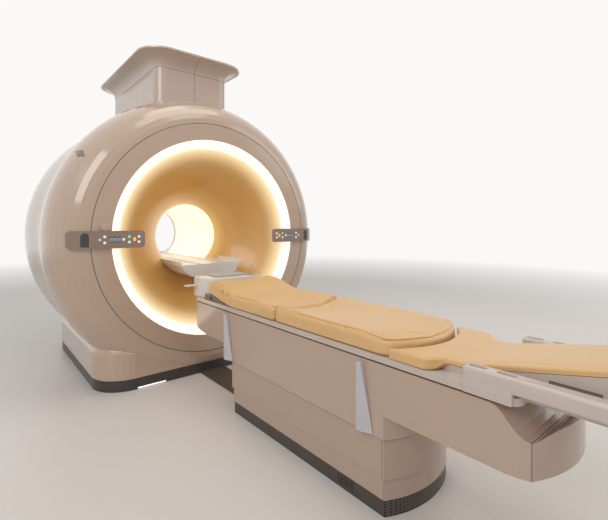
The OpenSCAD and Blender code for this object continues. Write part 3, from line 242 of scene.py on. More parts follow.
def mouldedPlastic(name, colour, shade, roughness=0.22, coat=0.5, depth=0.08, spread=0.06, grain=260.0,
                   seams=(), shadeBoxes=()):
    # seams holds (axis, place in metres, width), axis 3 being the distance from the bore; the thin dark line
    # along each seam is painted shade in the gap between covers
    # the boxes of the last argument are painted dark as the painted shade of shallow recesses that are not
    # modelled
    material, tree, shader = newMaterial(name, colour, roughness, coat=coat)
    place, axes = objectPlace(tree)
    tone = mixColour(tree, addSkin(tree, shader, place, grain, depth, roughness, spread), colour, shade)
    for axis, where, width in seams:
        along = radialPlace(tree, axes) if axis == 3 else axes[axis]
        line = placeGroup(tree, seamGroup, {"Coordinate": along, "Place": where, "Width": width})
        # painted shade in the gap along the seam
        dark = tuple(paintedShadeShare["seam"] * c for c in colour)
        tone = mixColour(tree, line.outputs["Mask"], tone, dark)
    # painted shade of a shallow recess
    for low, high in shadeBoxes:
        dark = tuple(paintedShadeShare["recess"] * c for c in colour)
        tone = mixColour(tree, boxMask(tree, axes, low, high), tone, dark)
    tree.links.new(tone, shader.inputs["Base Color"])
    return material


# camera, floor and light

print("camera and stage")
view = {"place": (-1.579, -3.9, 1.238), "turn": -0.701, "lens": 23.64, "sensor": 36,
        "shiftUp": -0.0618}
camera = newObject("camera", bpy.data.cameras.new("camera"))
camera.location = view["place"]
camera.rotation_euler = (math.pi / 2, 0, view["turn"])
camera.data.lens = view["lens"]
camera.data.sensor_width = view["sensor"]
camera.data.shift_y = view["shiftUp"]
bpy.context.scene.camera = camera
bpy.context.scene.view_settings.view_transform = "Standard"

stageLook = {"floor": (0.8, 0.77, 0.74), "roughness": 0.38, "far": (0.955, 0.945, 0.93), "fadeFrom": 5.0,
             "fadeTo": 11.0, "size": 60.0, "drop": 0.0005, "world": (1.0, 0.985, 0.97), "worldLight": 0.37}


def makeStage():
    bm = bmesh.new()
    bmesh.ops.create_grid(bm, x_segments=2, y_segments=2, size=stageLook["size"] / 2)
    bmesh.ops.translate(bm, verts=bm.verts, vec=(0, 0, -stageLook["drop"]))
    mesh = bpy.data.meshes.new("floor")
    bm.to_mesh(mesh)
    bm.free()
    floor = newObject("floor", mesh)
    material, tree, shader = newMaterial("floorPale", stageLook["floor"], stageLook["roughness"])
    fade = tree.nodes.new("ShaderNodeMapRange")
    feed(tree, fade, {"Value": lengthOf(tree, objectPlace(tree)[0]), "From Min": stageLook["fadeFrom"],
                      "From Max": stageLook["fadeTo"]})
    ray = tree.nodes.new("ShaderNodeLightPath")
    seen = mathNode(tree, "MAXIMUM", ray.outputs["Is Camera Ray"], ray.outputs["Is Glossy Ray"])
    glow = tree.nodes.new("ShaderNodeEmission")
    feed(tree, glow, {"Color": stageLook["far"]})
    mix = tree.nodes.new("ShaderNodeMixShader")
    feed(tree, mix, {0: mathNode(tree, "MULTIPLY", fade.outputs["Result"], seen), 1: shader.outputs[0],
                     2: glow.outputs[0]})
    tree.links.new(mix.outputs[0], tree.nodes["Material Output"].inputs["Surface"])
    mesh.materials.append(material)


def makeWorld():
    world = bpy.data.worlds.new("paleRoom")
    bpy.context.scene.world = world
    world.use_nodes = True
    tree = world.node_tree
    tree.nodes.clear()
    ray = tree.nodes.new("ShaderNodeLightPath")
    bent = mathNode(tree, "MAXIMUM", ray.outputs["Is Glossy Ray"], ray.outputs["Is Transmission Ray"])
    seen = mathNode(tree, "MAXIMUM", ray.outputs["Is Camera Ray"], bent)
    plain = tree.nodes.new("ShaderNodeBackground")
    feed(tree, plain, {"Color": stageLook["world"], "Strength": stageLook["worldLight"]})
    shown = tree.nodes.new("ShaderNodeBackground")
    feed(tree, shown, {"Color": stageLook["far"]})
    mix = tree.nodes.new("ShaderNodeMixShader")
    feed(tree, mix, {0: seen, 1: plain.outputs[0], 2: shown.outputs[0]})
    out = tree.nodes.new("ShaderNodeOutputWorld")
    tree.links.new(mix.outputs[0], out.inputs["Surface"])


lampSize = 4.0
# place, aim, power and colour
lamps = {"softKey": ((-5.6, -3.6, 5.0), (0, -1.2, 0.9), 145, (1.0, 0.985, 0.985)),
         "softFill": ((4.6, -4.2, 3.6), (0, -1.0, 1.0), 50, (1, 0.94, 0.87)),
         "softTop": ((0.3, -2.0, 6.0), (0, -2.0, 0), 72, (1, 0.95, 0.89))}


def addLamp(name, place, aim, power, colour):
    lamp = bpy.data.lights.new(name, "AREA")
    lamp.shape = "DISK"
    lamp.size = lampSize
    lamp.energy = power
    lamp.color = colour
    holder = newObject(name, lamp)
    holder.location = place
    holder.rotation_euler = (Vector(aim) - Vector(place)).to_track_quat("-Z", "Y").to_euler()


makeStage()
makeWorld()
for name, lamp in lamps.items():
    addLamp(name, *lamp)


# finishes that the pieces share

def metalLook(name, colour, roughness):
    material, tree, shader = newMaterial(name, colour, roughness, metallic=1.0)
    addSkin(tree, shader, objectPlace(tree)[0], grain=600.0, depth=0.15, roughness=roughness, spread=0.15)
    return material


def softCover(name, colour, shade, roughness, grain, depth):
    # coated cloth or vinyl: fine cells in the surface and slow changes of tone
    material, tree, shader = newMaterial(name, colour, roughness)
    tone = addSkin(tree, shader, objectPlace(tree)[0], grain, depth, roughness, spread=0.12)
    feed(tree, shader, {"Sheen Weight": 0.15, "Sheen Roughness": 0.5,
                        "Base Color": mixColour(tree, tone, colour, shade)})
    return material


def litPlastic(name, colour, strength, glow=None, coat=0.3, grain=400.0):
    # a cap or liner with emission: caps such as the buttons are lit from behind, and on the bore liner the
    # emission is painted light
    roughness = 0.3
    material, tree, shader = newMaterial(name, colour, roughness, coat=coat)
    addSkin(tree, shader, objectPlace(tree)[0], grain, depth=0.05, roughness=roughness, spread=0.06)
    feed(tree, shader, {"Emission Color": glow or colour, "Emission Strength": strength})
    return material


ringGlow = {"colour": (1, 0.95, 0.86), "glow": (1.0, 0.93, 0.78), "strength": 0.95, "middle": 0.805,
            "fade": 6.0}


def makeRingGlow():
    # a lit diffuser, a little brighter along its middle
    material, tree, shader = newMaterial("ringGlow", ringGlow["colour"], 0.5)
    far = radialPlace(tree, objectPlace(tree)[1])
    edge = mathNode(tree, "ABSOLUTE", mathNode(tree, "SUBTRACT", far, ringGlow["middle"]))
    level = mathNode(tree, "SUBTRACT", 1.0, mathNode(tree, "MULTIPLY", edge, ringGlow["fade"]), clamp=True)
    feed(tree, shader, {"Emission Color": ringGlow["glow"],
                        "Emission Strength": mathNode(tree, "MULTIPLY", level, ringGlow["strength"])})
    return material


# gold by distance from the bore: the stops hold painted light and shade over the gold, and the glow is
# painted light from the ring falling on the funnel
funnelLook = {"goldWithPaintedLightStops": ((0.29, (0.95, 0.68, 0.28)), (0.36, (0.84, 0.52, 0.185)), (0.46, (0.75, 0.41, 0.118)),
                        (0.58, (0.77, 0.44, 0.135)), (0.68, (0.88, 0.6, 0.27)), (0.76, (0.95, 0.82, 0.56))),
              "glow": (1.0, 0.82, 0.5), "ringLightFrom": 0.62, "ringLightTo": 0.79, "ringLightStrength": 0.75,
              "roughness": 0.3}


def makeFunnelGold():
    # golden lacquer; its paler colour towards the lit ring and again towards the bore is painted light, the
    # darker band between them is painted shade, and its emission near the ring is painted light from the ring
    material, tree, shader = newMaterial("funnelGold", funnelLook["goldWithPaintedLightStops"][2][1], funnelLook["roughness"],
                                         coat=0.3)
    place, axes = objectPlace(tree)
    far = radialPlace(tree, axes)
    ramp = tree.nodes.new("ShaderNodeValToRGB")
    ramp.color_ramp.interpolation = "EASE"
    goldWithPaintedLightStops = funnelLook["goldWithPaintedLightStops"]
    for element, (where, colour) in zip(ramp.color_ramp.elements, (goldWithPaintedLightStops[0], goldWithPaintedLightStops[-1])):
        element.position = where
        element.color = (*colour, 1)
    for where, colour in goldWithPaintedLightStops[1:-1]:
        ramp.color_ramp.elements.new(where).color = (*colour, 1)
    tree.links.new(far, ramp.inputs["Fac"])
    addSkin(tree, shader, place, grain=220.0, depth=0.05, roughness=funnelLook["roughness"], spread=0.08,
            bumpy=False)
    # painted light from the ring: emission on the funnel, strongest next to the ring
    lit = tree.nodes.new("ShaderNodeMapRange")
    lit.interpolation_type = "SMOOTHSTEP"
    feed(tree, lit, {"Value": far, "From Min": funnelLook["ringLightFrom"], "From Max": funnelLook["ringLightTo"]})
    glow = mixColour(tree, lit.outputs["Result"], (0, 0, 0), funnelLook["glow"])
    feed(tree, shader, {"Base Color": ramp.outputs["Color"], "Emission Color": glow,
                        "Emission Strength": funnelLook["ringLightStrength"]})
    return material


def perforatedKick(name, colour, holeShade, pitch, size, roughness=0.42):
    # dark kick plate with rows of small round holes, drawn as dark dots of painted shade; size is the hole's
    # radius as a share of the pitch
    material, tree, shader = newMaterial(name, colour, roughness, coat=0.1)
    place, axes = objectPlace(tree)
    squares = []
    for along in (mathNode(tree, "ADD", axes[0], axes[1]), axes[2]):
        turn = mathNode(tree, "FRACT", mathNode(tree, "DIVIDE", along, pitch))
        away = mathNode(tree, "SUBTRACT", turn, 0.5)
        squares.append(mathNode(tree, "MULTIPLY", away, away))
    mask = mathNode(tree, "LESS_THAN", mathNode(tree, "ADD", *squares), size * size)
    # the holes are painted shade
    tree.links.new(mixColour(tree, mask, colour, holeShade), shader.inputs["Base Color"])
    addSkin(tree, shader, place, grain=260.0, depth=0.08, roughness=roughness, spread=0.08, bumpy=False)
    return material


windowBars = {"glass": (0.02, 0.02, 0.025), "glow": (0.55, 0.75, 0.95), "strength": 0.7, "perMetre": 110.0,
              "dark": 0.62, "halfHigh": 0.014, "farthest": 0.86}


def makeWindowBars():
    # dark glass with a few lit bars behind it
    w = windowBars
    material, tree, shader = newMaterial("windowGlass", w["glass"], 0.12, coat=0.6)
    axes = objectPlace(tree)[1]
    wave = mathNode(tree, "FRACT", mathNode(tree, "MULTIPLY", axes[2], w["perMetre"]))
    bar = mathNode(tree, "GREATER_THAN", wave, w["dark"])
    above = mathNode(tree, "ABSOLUTE", mathNode(tree, "SUBTRACT", axes[2], boreAxis.z))
    near = mathNode(tree, "LESS_THAN", above, w["halfHigh"])
    inner = mathNode(tree, "LESS_THAN", mathNode(tree, "ABSOLUTE", axes[0]), w["farthest"])
    mask = mathNode(tree, "MULTIPLY", mathNode(tree, "MULTIPLY", bar, near), inner)
    feed(tree, shader, {"Emission Color": w["glow"],
                        "Emission Strength": mathNode(tree, "MULTIPLY", mask, w["strength"])})
    return material


# finishes of the pieces

print("finishes")
# the seam lines and recess boxes given to these covers are painted shade
coverLook = mouldedPlastic("ivoryCover", (0.6, 0.445, 0.335), (0.54, 0.39, 0.29), 0.14, coat=0.7,
                           seams=((3, 0.934, 0.004),))
noseLook = mouldedPlastic("noseCover", (0.6, 0.445, 0.335), (0.54, 0.39, 0.29), 0.14, coat=0.7,
                          seams=((3, 0.936, 0.004), (1, -0.5605, 0.003)), shadeBoxes=recessShadeBoxes["nose"])
sideLook = mouldedPlastic("sideCover", (0.64, 0.53, 0.46), (0.58, 0.47, 0.4), 0.16, coat=0.6,
                          seams=((1, -0.5605, 0.003), (1, 0.64, 0.003)))
turretLook = mouldedPlastic("turretCover", (0.63, 0.51, 0.42), (0.57, 0.45, 0.37), 0.2, coat=0.5,
                            seams=((0, 0.0, 0.003), (2, 2.581, 0.003)))
backLook = mouldedPlastic("rearCover", (0.63, 0.52, 0.44), (0.57, 0.46, 0.38), 0.18, coat=0.5,
                          seams=((3, 0.934, 0.004), (1, 0.64, 0.003)))
tableLook = mouldedPlastic("tableCover", (0.58, 0.435, 0.345), (0.52, 0.38, 0.295), 0.22, coat=0.4,
                           seams=((2, 0.334, 0.0022), (2, 0.163, 0.0022), (1, -3.4102, 0.0018)))
skirtLook = mouldedPlastic("skirtCover", (0.54, 0.405, 0.32), (0.48, 0.35, 0.27), 0.24, coat=0.4,
                           seams=((1, -2.835, 0.0022),))
railLook = mouldedPlastic("railPlastic", (0.68, 0.59, 0.53), (0.62, 0.53, 0.47), 0.28, coat=0.25)
topLook = mouldedPlastic("topLaminate", (0.66, 0.57, 0.51), (0.6, 0.51, 0.45), 0.26, coat=0.25,
                         shadeBoxes=recessShadeBoxes["legRest"])
# the bore liner's emission is painted light that falls into the bore from behind
borePaintedLightLook = litPlastic("boreLinerPaintedLight", (0.86, 0.8, 0.7), 0.55, glow=(1.0, 0.9, 0.72), coat=0.2, grain=200.0)
whiteLook = mouldedPlastic("bridgeWhite", (0.8, 0.77, 0.72), (0.74, 0.7, 0.65), 0.28, coat=0.2)
coilLook = mouldedPlastic("coilWhite", (0.78, 0.75, 0.71), (0.72, 0.69, 0.64), 0.26, coat=0.3)
panelLook = mouldedPlastic("panelTaupe", (0.31, 0.215, 0.158), (0.27, 0.185, 0.136), 0.2, coat=0.6)
kickLook = mouldedPlastic("kickDark", (0.06, 0.052, 0.047), (0.045, 0.039, 0.036), 0.42, coat=0.1)
grilleLook = perforatedKick("kickGrille", (0.085, 0.074, 0.067), (0.008, 0.007, 0.006), 0.012, 0.3)
ductLook = mouldedPlastic("ductBrown", (0.11, 0.088, 0.075), (0.085, 0.067, 0.057), 0.45, coat=0.1)
finLook = mouldedPlastic("finCool", (0.62, 0.61, 0.64), (0.56, 0.55, 0.57), 0.22, coat=0.4)
vesselLook = mouldedPlastic("vesselPaint", (0.6, 0.61, 0.62), (0.54, 0.55, 0.56), 0.4, coat=0.1)
resinLook = mouldedPlastic("castResin", (0.5, 0.4, 0.22), (0.43, 0.33, 0.17), 0.5, coat=0.0)
sleeveLook = mouldedPlastic("cableSleeve", (0.66, 0.61, 0.53), (0.6, 0.55, 0.47), 0.45, coat=0.1,
                            grain=700.0)
steelLook = metalLook("brushedSteel", (0.5, 0.51, 0.53), 0.35)
copperLook = metalLook("copperWinding", (0.58, 0.31, 0.17), 0.4)
vinylLook = softCover("mattressVinyl", (0.83, 0.54, 0.245), (0.76, 0.46, 0.19), 0.42, 420.0, 0.25)
coilPadLook = softCover("coilPadCloth", (0.5, 0.5, 0.48), (0.43, 0.43, 0.41), 0.7, 900.0, 0.4)
foamLook = softCover("wedgeFoam", (0.23, 0.185, 0.15), (0.18, 0.14, 0.11), 0.75, 500.0, 0.5)
ringLook = makeRingGlow()
goldLook = makeFunnelGold()
windowLook = makeWindowBars()

for look, *names in (
        (coverLook, "front_fascia"), (noseLook, "front_cover", "lower_front_cover"),
        (sideLook, "side_covers", "plinth_panels"), (turretLook, "turret_walls", "turret_rims"),
        (backLook, "rear_cover", "rear_funnel"), (goldLook, "front_funnel", "funnel_panel"),
        (ringLook, "light_ring"), (borePaintedLightLook, "bore_tube"), (whiteLook, "bore_bridge"),
        (coilLook, "coil_base", "coil_plug", "coil_cable", "flex_coil"),
        (panelLook, "panel_left", "panel_right"), (kickLook, "gantry_kick"), (grilleLook, "table_kick"),
        (windowLook, "panel_windows"), (ductLook, "duct_cover"),
        (skirtLook, "lower_skirt", "middle_skirt"), (tableLook, "beam", "beam_cap"),
        (topLook, "tabletop"), (railLook, "foot_rail"), (finLook, "beam_fins"),
        (vesselLook, "vacuum_vessel"), (resinLook, "gradient_coil"),
        (vinylLook, "head_mattress", "middle_mattress", "foot_mattress"), (foamLook, "head_wedge"),
        (copperLook, "cold_mass", "body_coil"), (steelLook, "cold_head", "quench_pipe", "table_base")):
    dress(look, *names)

buttonLooks = {"white": litPlastic("buttonWhite", (0.8, 0.82, 0.86), 0.35),
               "amber": litPlastic("buttonAmber", (0.95, 0.36, 0.04), 0.9),
               "green": litPlastic("buttonGreen", (0.16, 0.72, 0.33), 0.5),
               "lilac": litPlastic("buttonLilac", (0.58, 0.46, 0.74), 0.35)}
buttonHues = {3: "amber", 4: "green", 9: "lilac"}
buttonCount = 9
for side in ("left", "right"):
    for number in range(1, buttonCount + 1):
        dress(buttonLooks[buttonHues.get(number, "white")], f"{side}_button_{number}")


# mattresses

mattress = {"half": 0.27, "bottom": 0.6825, "thick": 0.076, "headY": -1.28, "seamY": -2.08,
            "footY": -2.87, "bulge": 0.095, "headRise": 0.054, "liftRun": 0.3, "ease": 0.09,
            "dip": 0.034, "dipRun": 0.55, "dipPower": 1.4, "seamGap": 0.004, "seamCorner": 0.02,
            "headCorner": 0.026, "footCorner": 0.045, "footFall": 0.01, "fallRun": 0.16, "rim": 0.022,
            "mostPuff": 0.008}
footPad = {"wide": 0.27, "narrow": 0.194, "wideTo": -3.035, "narrowFrom": -3.118, "end": -3.742,
           "bend": -3.155, "slope": 0.2125, "rest": 0.7035, "thick": 0.0215, "lobeX": 0.192, "lobeShare": 0.4,
           "lobeRise": 0.0005, "headGap": 0.009, "rim": 0.008, "mostPuff": 0.004}


def smooth(t):
    t = min(1.0, max(0.0, t))
    return t * t * (3 - 2 * t)


def dipAt(x, y, half):
    # the mattresses sag along their middle, most at the seam between them
    away = (y - mattress["seamY"]) / mattress["dipRun"]
    across = math.cos(min(1, abs(x) / half) * math.pi / 2) ** mattress["dipPower"]
    return mattress["dip"] * math.exp(-away * away) * across


def bulgeEdge(x, half, out):
    # the arc that the middle mattress ends in
    radius = (half * half + out * out) / (2 * out)
    return mattress["footY"] - out + radius - math.sqrt(max(0.0, radius * radius - x * x))


def cornerEase(x, half, radius):
    # how far a pad's end draws back beside its rounded corners
    out = min(1.0, max(0.0, (abs(x) - half + radius) / radius))
    return radius * (1 - math.sqrt(1 - out * out * 0.98))


def headSection(u, v):
    m = mattress
    x = u * m["half"]
    foot = m["seamY"] + m["seamGap"] + cornerEase(x, m["half"], m["seamCorner"])
    y = foot + v * (m["headY"] - cornerEase(x, m["half"], m["headCorner"]) - foot)
    risen = [min(1.0, max(0.0, (y - m["headY"] + m["liftRun"] + ahead) / m["liftRun"]))
             for ahead in (0.0, m["ease"])]
    low = m["bottom"] + risen[0] * m["headRise"]
    high = m["bottom"] + m["thick"] + smooth(risen[1]) * m["headRise"] - dipAt(x, y, m["half"])
    return x, y, low, high


def middleSection(u, v):
    m = mattress
    x = u * m["half"]
    foot = bulgeEdge(x, m["half"], m["bulge"]) + cornerEase(x, m["half"], m["footCorner"])
    y = foot + v * (m["seamY"] - m["seamGap"] - cornerEase(x, m["half"], m["seamCorner"]) - foot)
    fall = m["footFall"] * (1 - smooth((y - foot) / m["fallRun"]))
    return x, y, m["bottom"], m["bottom"] + m["thick"] - fall - dipAt(x, y, m["half"])


def footSection(u, v):
    # it lies on the sloping rest, and its wide lobes reach down to the tabletop
    f = footPad
    head = bulgeEdge(u * f["wide"], mattress["half"], mattress["bulge"]) - f["headGap"]
    y = f["end"] + v * (head - f["end"])
    share = smooth((y - f["narrowFrom"]) / (f["wideTo"] - f["narrowFrom"]))
    x = u * (f["narrow"] + (f["wide"] - f["narrow"]) * share)
    rest = f["rest"] + max(0.0, f["bend"] - y) * f["slope"]
    onRest = abs(x) < f["lobeX"] or share < f["lobeShare"]
    low = rest if onRest else mattress["bottom"] + f["lobeRise"]
    return x, y, low, rest + f["thick"]


def padMesh(section, columns, rows, rim):
    # a closed slab over a plan, rounded along its upper and lower rims
    bm = bmesh.new()
    bmesh.ops.create_grid(bm, x_segments=columns, y_segments=rows, size=1.0)
    plan = {vert: (vert.co.x, (vert.co.y + 1) / 2) for vert in bm.verts}
    heights = {}
    for vert, (u, v) in plan.items():
        x, y, low, high = section(u, v)
        heights[vert] = high - low
        vert.co = (x, y, low)
    grown = bmesh.ops.extrude_face_region(bm, geom=list(bm.faces))
    byPlace = {(round(vert.co.x, 6), round(vert.co.y, 6)): heights[vert] for vert in plan}
    for vert in vertsOf(grown["geom"]):
        vert.co.z += byPlace[(round(vert.co.x, 6), round(vert.co.y, 6))]
    bmesh.ops.recalc_face_normals(bm, faces=bm.faces)
    roundEdges(bm, sharpEdges(bm, 1.0), rim, 4)
    return bm


coverCloth = {"quality": 3, "mass": 0.3, "tension_stiffness": 12, "compression_stiffness": 12,
              "bending_stiffness": 0.4, "shrink_min": -0.015, "use_pressure": True,
              "uniform_pressure_force": 4.0}
clothFrames = 16


def puff(piece, mostPuff):
    # air pressure under the cover, with the underside held; the movement is kept small
    mesh = piece.data
    before = [vert.co.copy() for vert in mesh.vertices]
    lowest = min(corner.z for corner in before)
    held = piece.vertex_groups.new(name="held")
    held.add([i for i, vert in enumerate(mesh.vertices) if vert.normal.z < -0.5], 1.0, "REPLACE")
    cloth = piece.modifiers.new("cloth", "CLOTH")
    for setting, value in coverCloth.items():
        setattr(cloth.settings, setting, value)
    cloth.settings.effector_weights.gravity = 0
    cloth.settings.vertex_group_mass = held.name
    cloth.collision_settings.use_collision = False
    cloth.point_cache.frame_start = 1
    cloth.point_cache.frame_end = clothFrames
    scene = bpy.context.scene
    for number in range(1, clothFrames + 1):
        scene.frame_set(number)
    solved = piece.evaluated_get(bpy.context.evaluated_depsgraph_get()).to_mesh()
    after = [vert.co.copy() for vert in solved.vertices]
    piece.modifiers.remove(cloth)
    scene.frame_set(1)
    for vert, old, new in zip(mesh.vertices, before, after):
        step = new - old
        if step.length > mostPuff:
            step = step.normalized() * mostPuff
        vert.co = old + step
        vert.co.z = max(vert.co.z, lowest)
    piece.vertex_groups.clear()
    mesh.update()


foldShape = {"reach": 3, "swell": 0.35, "swellAt": 1.9, "run": 0.92, "start": 0.04}


def crease(piece, lines):
    # presses folds into a cover; a line is its points, its depth and its half width
    s = foldShape
    mesh = piece.data
    for points, depth, width in lines:
        ends = [(Vector(a), Vector(b)) for a, b in zip(points, points[1:])]
        for vert in mesh.vertices:
            best = None
            for number, (a, b) in enumerate(ends):
                along = b - a
                share = max(0.0, min(1.0, (vert.co - a).dot(along) / along.length_squared))
                far = (vert.co - a - along * share).length
                if best is None or far < best[0]:
                    best = (far, (number + share) / len(ends))
            if best[0] < s["reach"] * width:
                fade = math.sin(math.pi * min(1.0, max(0.0, best[1] * s["run"] + s["start"])))
                near = best[0] / width
                swell = s["swell"] * math.exp(-(near - s["swellAt"]) ** 2)
                push = depth * fade * (math.exp(-near * near) - swell)
                vert.co -= vert.normal * push
    mesh.update()


mattressCreases = {
    "headPad": [
        ([(-0.276, -1.47, 0.7), (-0.276, -1.47, 0.748), (-0.262, -1.494, 0.768),
          (-0.205, -1.468, 0.768)], 0.017, 0.01),
        ([(-0.276, -1.552, 0.698), (-0.273, -1.552, 0.748), (-0.225, -1.582, 0.762),
          (-0.18, -1.606, 0.756)], 0.015, 0.01),
        ([(-0.276, -1.64, 0.7), (-0.27, -1.645, 0.742), (-0.235, -1.662, 0.757)], 0.006, 0.01),
        ([(0.165, -1.452, 0.79), (0.262, -1.49, 0.784), (0.276, -1.509, 0.745)], 0.012, 0.012),
        ([(0.071, -1.568, 0.762), (0.17, -1.6, 0.762), (0.272, -1.62, 0.752)], 0.01, 0.013),
        ([(-0.19, -2.06, 0.735), (-0.12, -1.99, 0.735), (-0.04, -1.96, 0.728)], 0.004, 0.016),
        ([(0.272, -1.93, 0.7), (0.268, -1.932, 0.745), (0.205, -1.95, 0.755)], 0.006, 0.011),
    ],
    "middlePad": [
        ([(-0.274, -2.3, 0.7), (-0.27, -2.305, 0.745), (-0.205, -2.335, 0.756)], 0.006, 0.012),
        ([(-0.274, -2.62, 0.7), (-0.27, -2.622, 0.745), (-0.225, -2.6, 0.757)], 0.005, 0.011),
        ([(0.18, -2.54, 0.758), (0.255, -2.585, 0.754), (0.274, -2.59, 0.715)], 0.006, 0.013),
        ([(-0.15, -2.84, 0.756), (-0.06, -2.905, 0.748), (-0.05, -2.955, 0.72)], 0.005, 0.012),
        ([(0.12, -2.15, 0.742), (0.03, -2.205, 0.735), (-0.06, -2.215, 0.735)], 0.004, 0.016),
    ],
    "footPad": [
        ([(-0.15, -3.165, 0.727), (0.0, -3.172, 0.729), (0.15, -3.165, 0.727)], 0.0025, 0.012),
    ],
}


def makePad(name, section, size, columns, rows, replaced):
    bm = padMesh(section, columns, rows, size["rim"])
    piece = newPiece(name, bm, "tabletop", vinylLook, [replaced], smoothAngle=60)
    puff(piece, size["mostPuff"])
    finer = piece.modifiers.new("finer", "SUBSURF")
    finer.levels = 1
    finer.render_levels = 1
    fine = bpy.data.meshes.new_from_object(piece.evaluated_get(bpy.context.evaluated_depsgraph_get()))
    piece.modifiers.remove(finer)
    piece.data = fine
    fine.name = name
    crease(piece, mattressCreases[name])


print("mattresses")
makePad("headPad", headSection, mattress, 44, 64, "head_mattress")
makePad("middlePad", middleSection, mattress, 44, 66, "middle_mattress")
makePad("footPad", footSection, footPad, 40, 70, "foot_mattress")


# foot rail, fins, foot cap and wedge

railSize = {"half": 0.28, "inner": 0.222, "head": -3.2, "foot": -3.806, "innerFoot": -3.748,
            "corner": 0.11, "innerCorner": 0.052, "headCorner": 0.01, "top": 0.75, "low": 0.696,
            "round": 0.012, "holeX": 0.251, "holeY": (-3.245, -3.34), "holeLong": 0.062, "holeWide": 0.024,
            "holeDeep": 0.0297, "holeLip": 0.0035, "boxLong": 0.165, "boxLow": 0.6825, "boxUp": 0.716,
            "boxIn": 0.2225, "boxOut": 0.2796, "boxRound": 0.004, "lipX": 0.2685, "lipLow": 0.6582}


def softOutline(corners, steps=7):
    # a plan's corners (x, y, radius) turned into one rounded loop
    loop = []
    count = len(corners)
    for number, (x, y, radius) in enumerate(corners):
        here = Vector((x, y))
        back = (Vector(corners[number - 1][:2]) - here).normalized()
        ahead = (Vector(corners[(number + 1) % count][:2]) - here).normalized()
        if radius <= 0:
            loop.append((x, y))
            continue
        opening = back.angle(ahead)
        reach = radius / math.tan(opening / 2)
        centre = here + (back + ahead).normalized() * (radius / math.sin(opening / 2))
        start = here + back * reach - centre
        turn = math.pi - opening
        sign = 1 if back.x * ahead.y - back.y * ahead.x < 0 else -1
        for step in range(steps + 1):
            angle = sign * turn * step / steps
            loop.append((centre.x + start.x * math.cos(angle) - start.y * math.sin(angle),
                         centre.y + start.x * math.sin(angle) + start.y * math.cos(angle)))
    return loop


def slotLoop(x, y, long, wide, steps=7):
    r = wide / 2
    ends = [(y + (long - wide) / 2, 0), (y - (long - wide) / 2, math.pi)]
    places = [(place, turn + math.pi * step / steps) for place, turn in ends for step in range(steps + 1)]
    return [(x + r * math.cos(angle), place + r * math.sin(angle)) for place, angle in places]


def loopEdges(bm, loop, z):
    verts = [bm.verts.new((x, y, z)) for x, y in loop]
    return [bm.edges.new((a, b)) for a, b in zip(verts, verts[1:] + verts[:1])]


def dropEdges(bm, edges, depth):
    # pulls walls down from a loop and gives back the loop at their foot
    made = bmesh.ops.extrude_edge_only(bm, edges=edges)["geom"]
    lower = set(vertsOf(made))
    bmesh.ops.translate(bm, verts=list(lower), vec=(0, 0, -depth))
    return [edge for edge in edgesOf(made) if all(vert in lower for vert in edge.verts)]


def fillLoops(bm, edges):
    bmesh.ops.triangle_fill(bm, use_beauty=True, use_dissolve=False, edges=edges)


def plate(bm, outline, high, low, roundness, pockets=(), pocketDepth=0.0, lip=0.0):
    # a rounded slab with blind pockets in its top
    outer = loopEdges(bm, outline, high)
    pocketRims = [loopEdges(bm, loop, high) for loop in pockets]
    fillLoops(bm, outer + [edge for rim in pocketRims for edge in rim])
    foot = dropEdges(bm, outer, high - low)
    fillLoops(bm, foot)
    for rim in pocketRims:
        fillLoops(bm, dropEdges(bm, rim, pocketDepth))
    bmesh.ops.recalc_face_normals(bm, faces=bm.faces)
    roundEdges(bm, outer + foot, roundness, 4)
    if lip:
        roundEdges(bm, [edge for rim in pocketRims for edge in rim if edge.is_valid], lip, 2)


def roundedBlock(bm, low, high, roundness):
    made = bmesh.ops.create_cube(bm, size=1.0)["verts"]
    bmesh.ops.scale(bm, verts=made, vec=[b - a for a, b in zip(low, high)])
    bmesh.ops.translate(bm, verts=made, vec=[(a + b) / 2 for a, b in zip(low, high)])
    roundEdges(bm, list({edge for vert in made for edge in vert.link_edges}), roundness)


def lathe(bm, profile, centre, steps=40):
    # turns a profile of (radius, height) about an upright line
    verts = [bm.verts.new((centre[0] + r, centre[1], z)) for r, z in profile]
    edges = [bm.edges.new(pair) for pair in zip(verts, verts[1:])]
    bmesh.ops.spin(bm, geom=verts + edges, cent=(centre[0], centre[1], 0), axis=(0, 0, 1), angle=2 * math.pi,
                   steps=steps, use_merge=True)


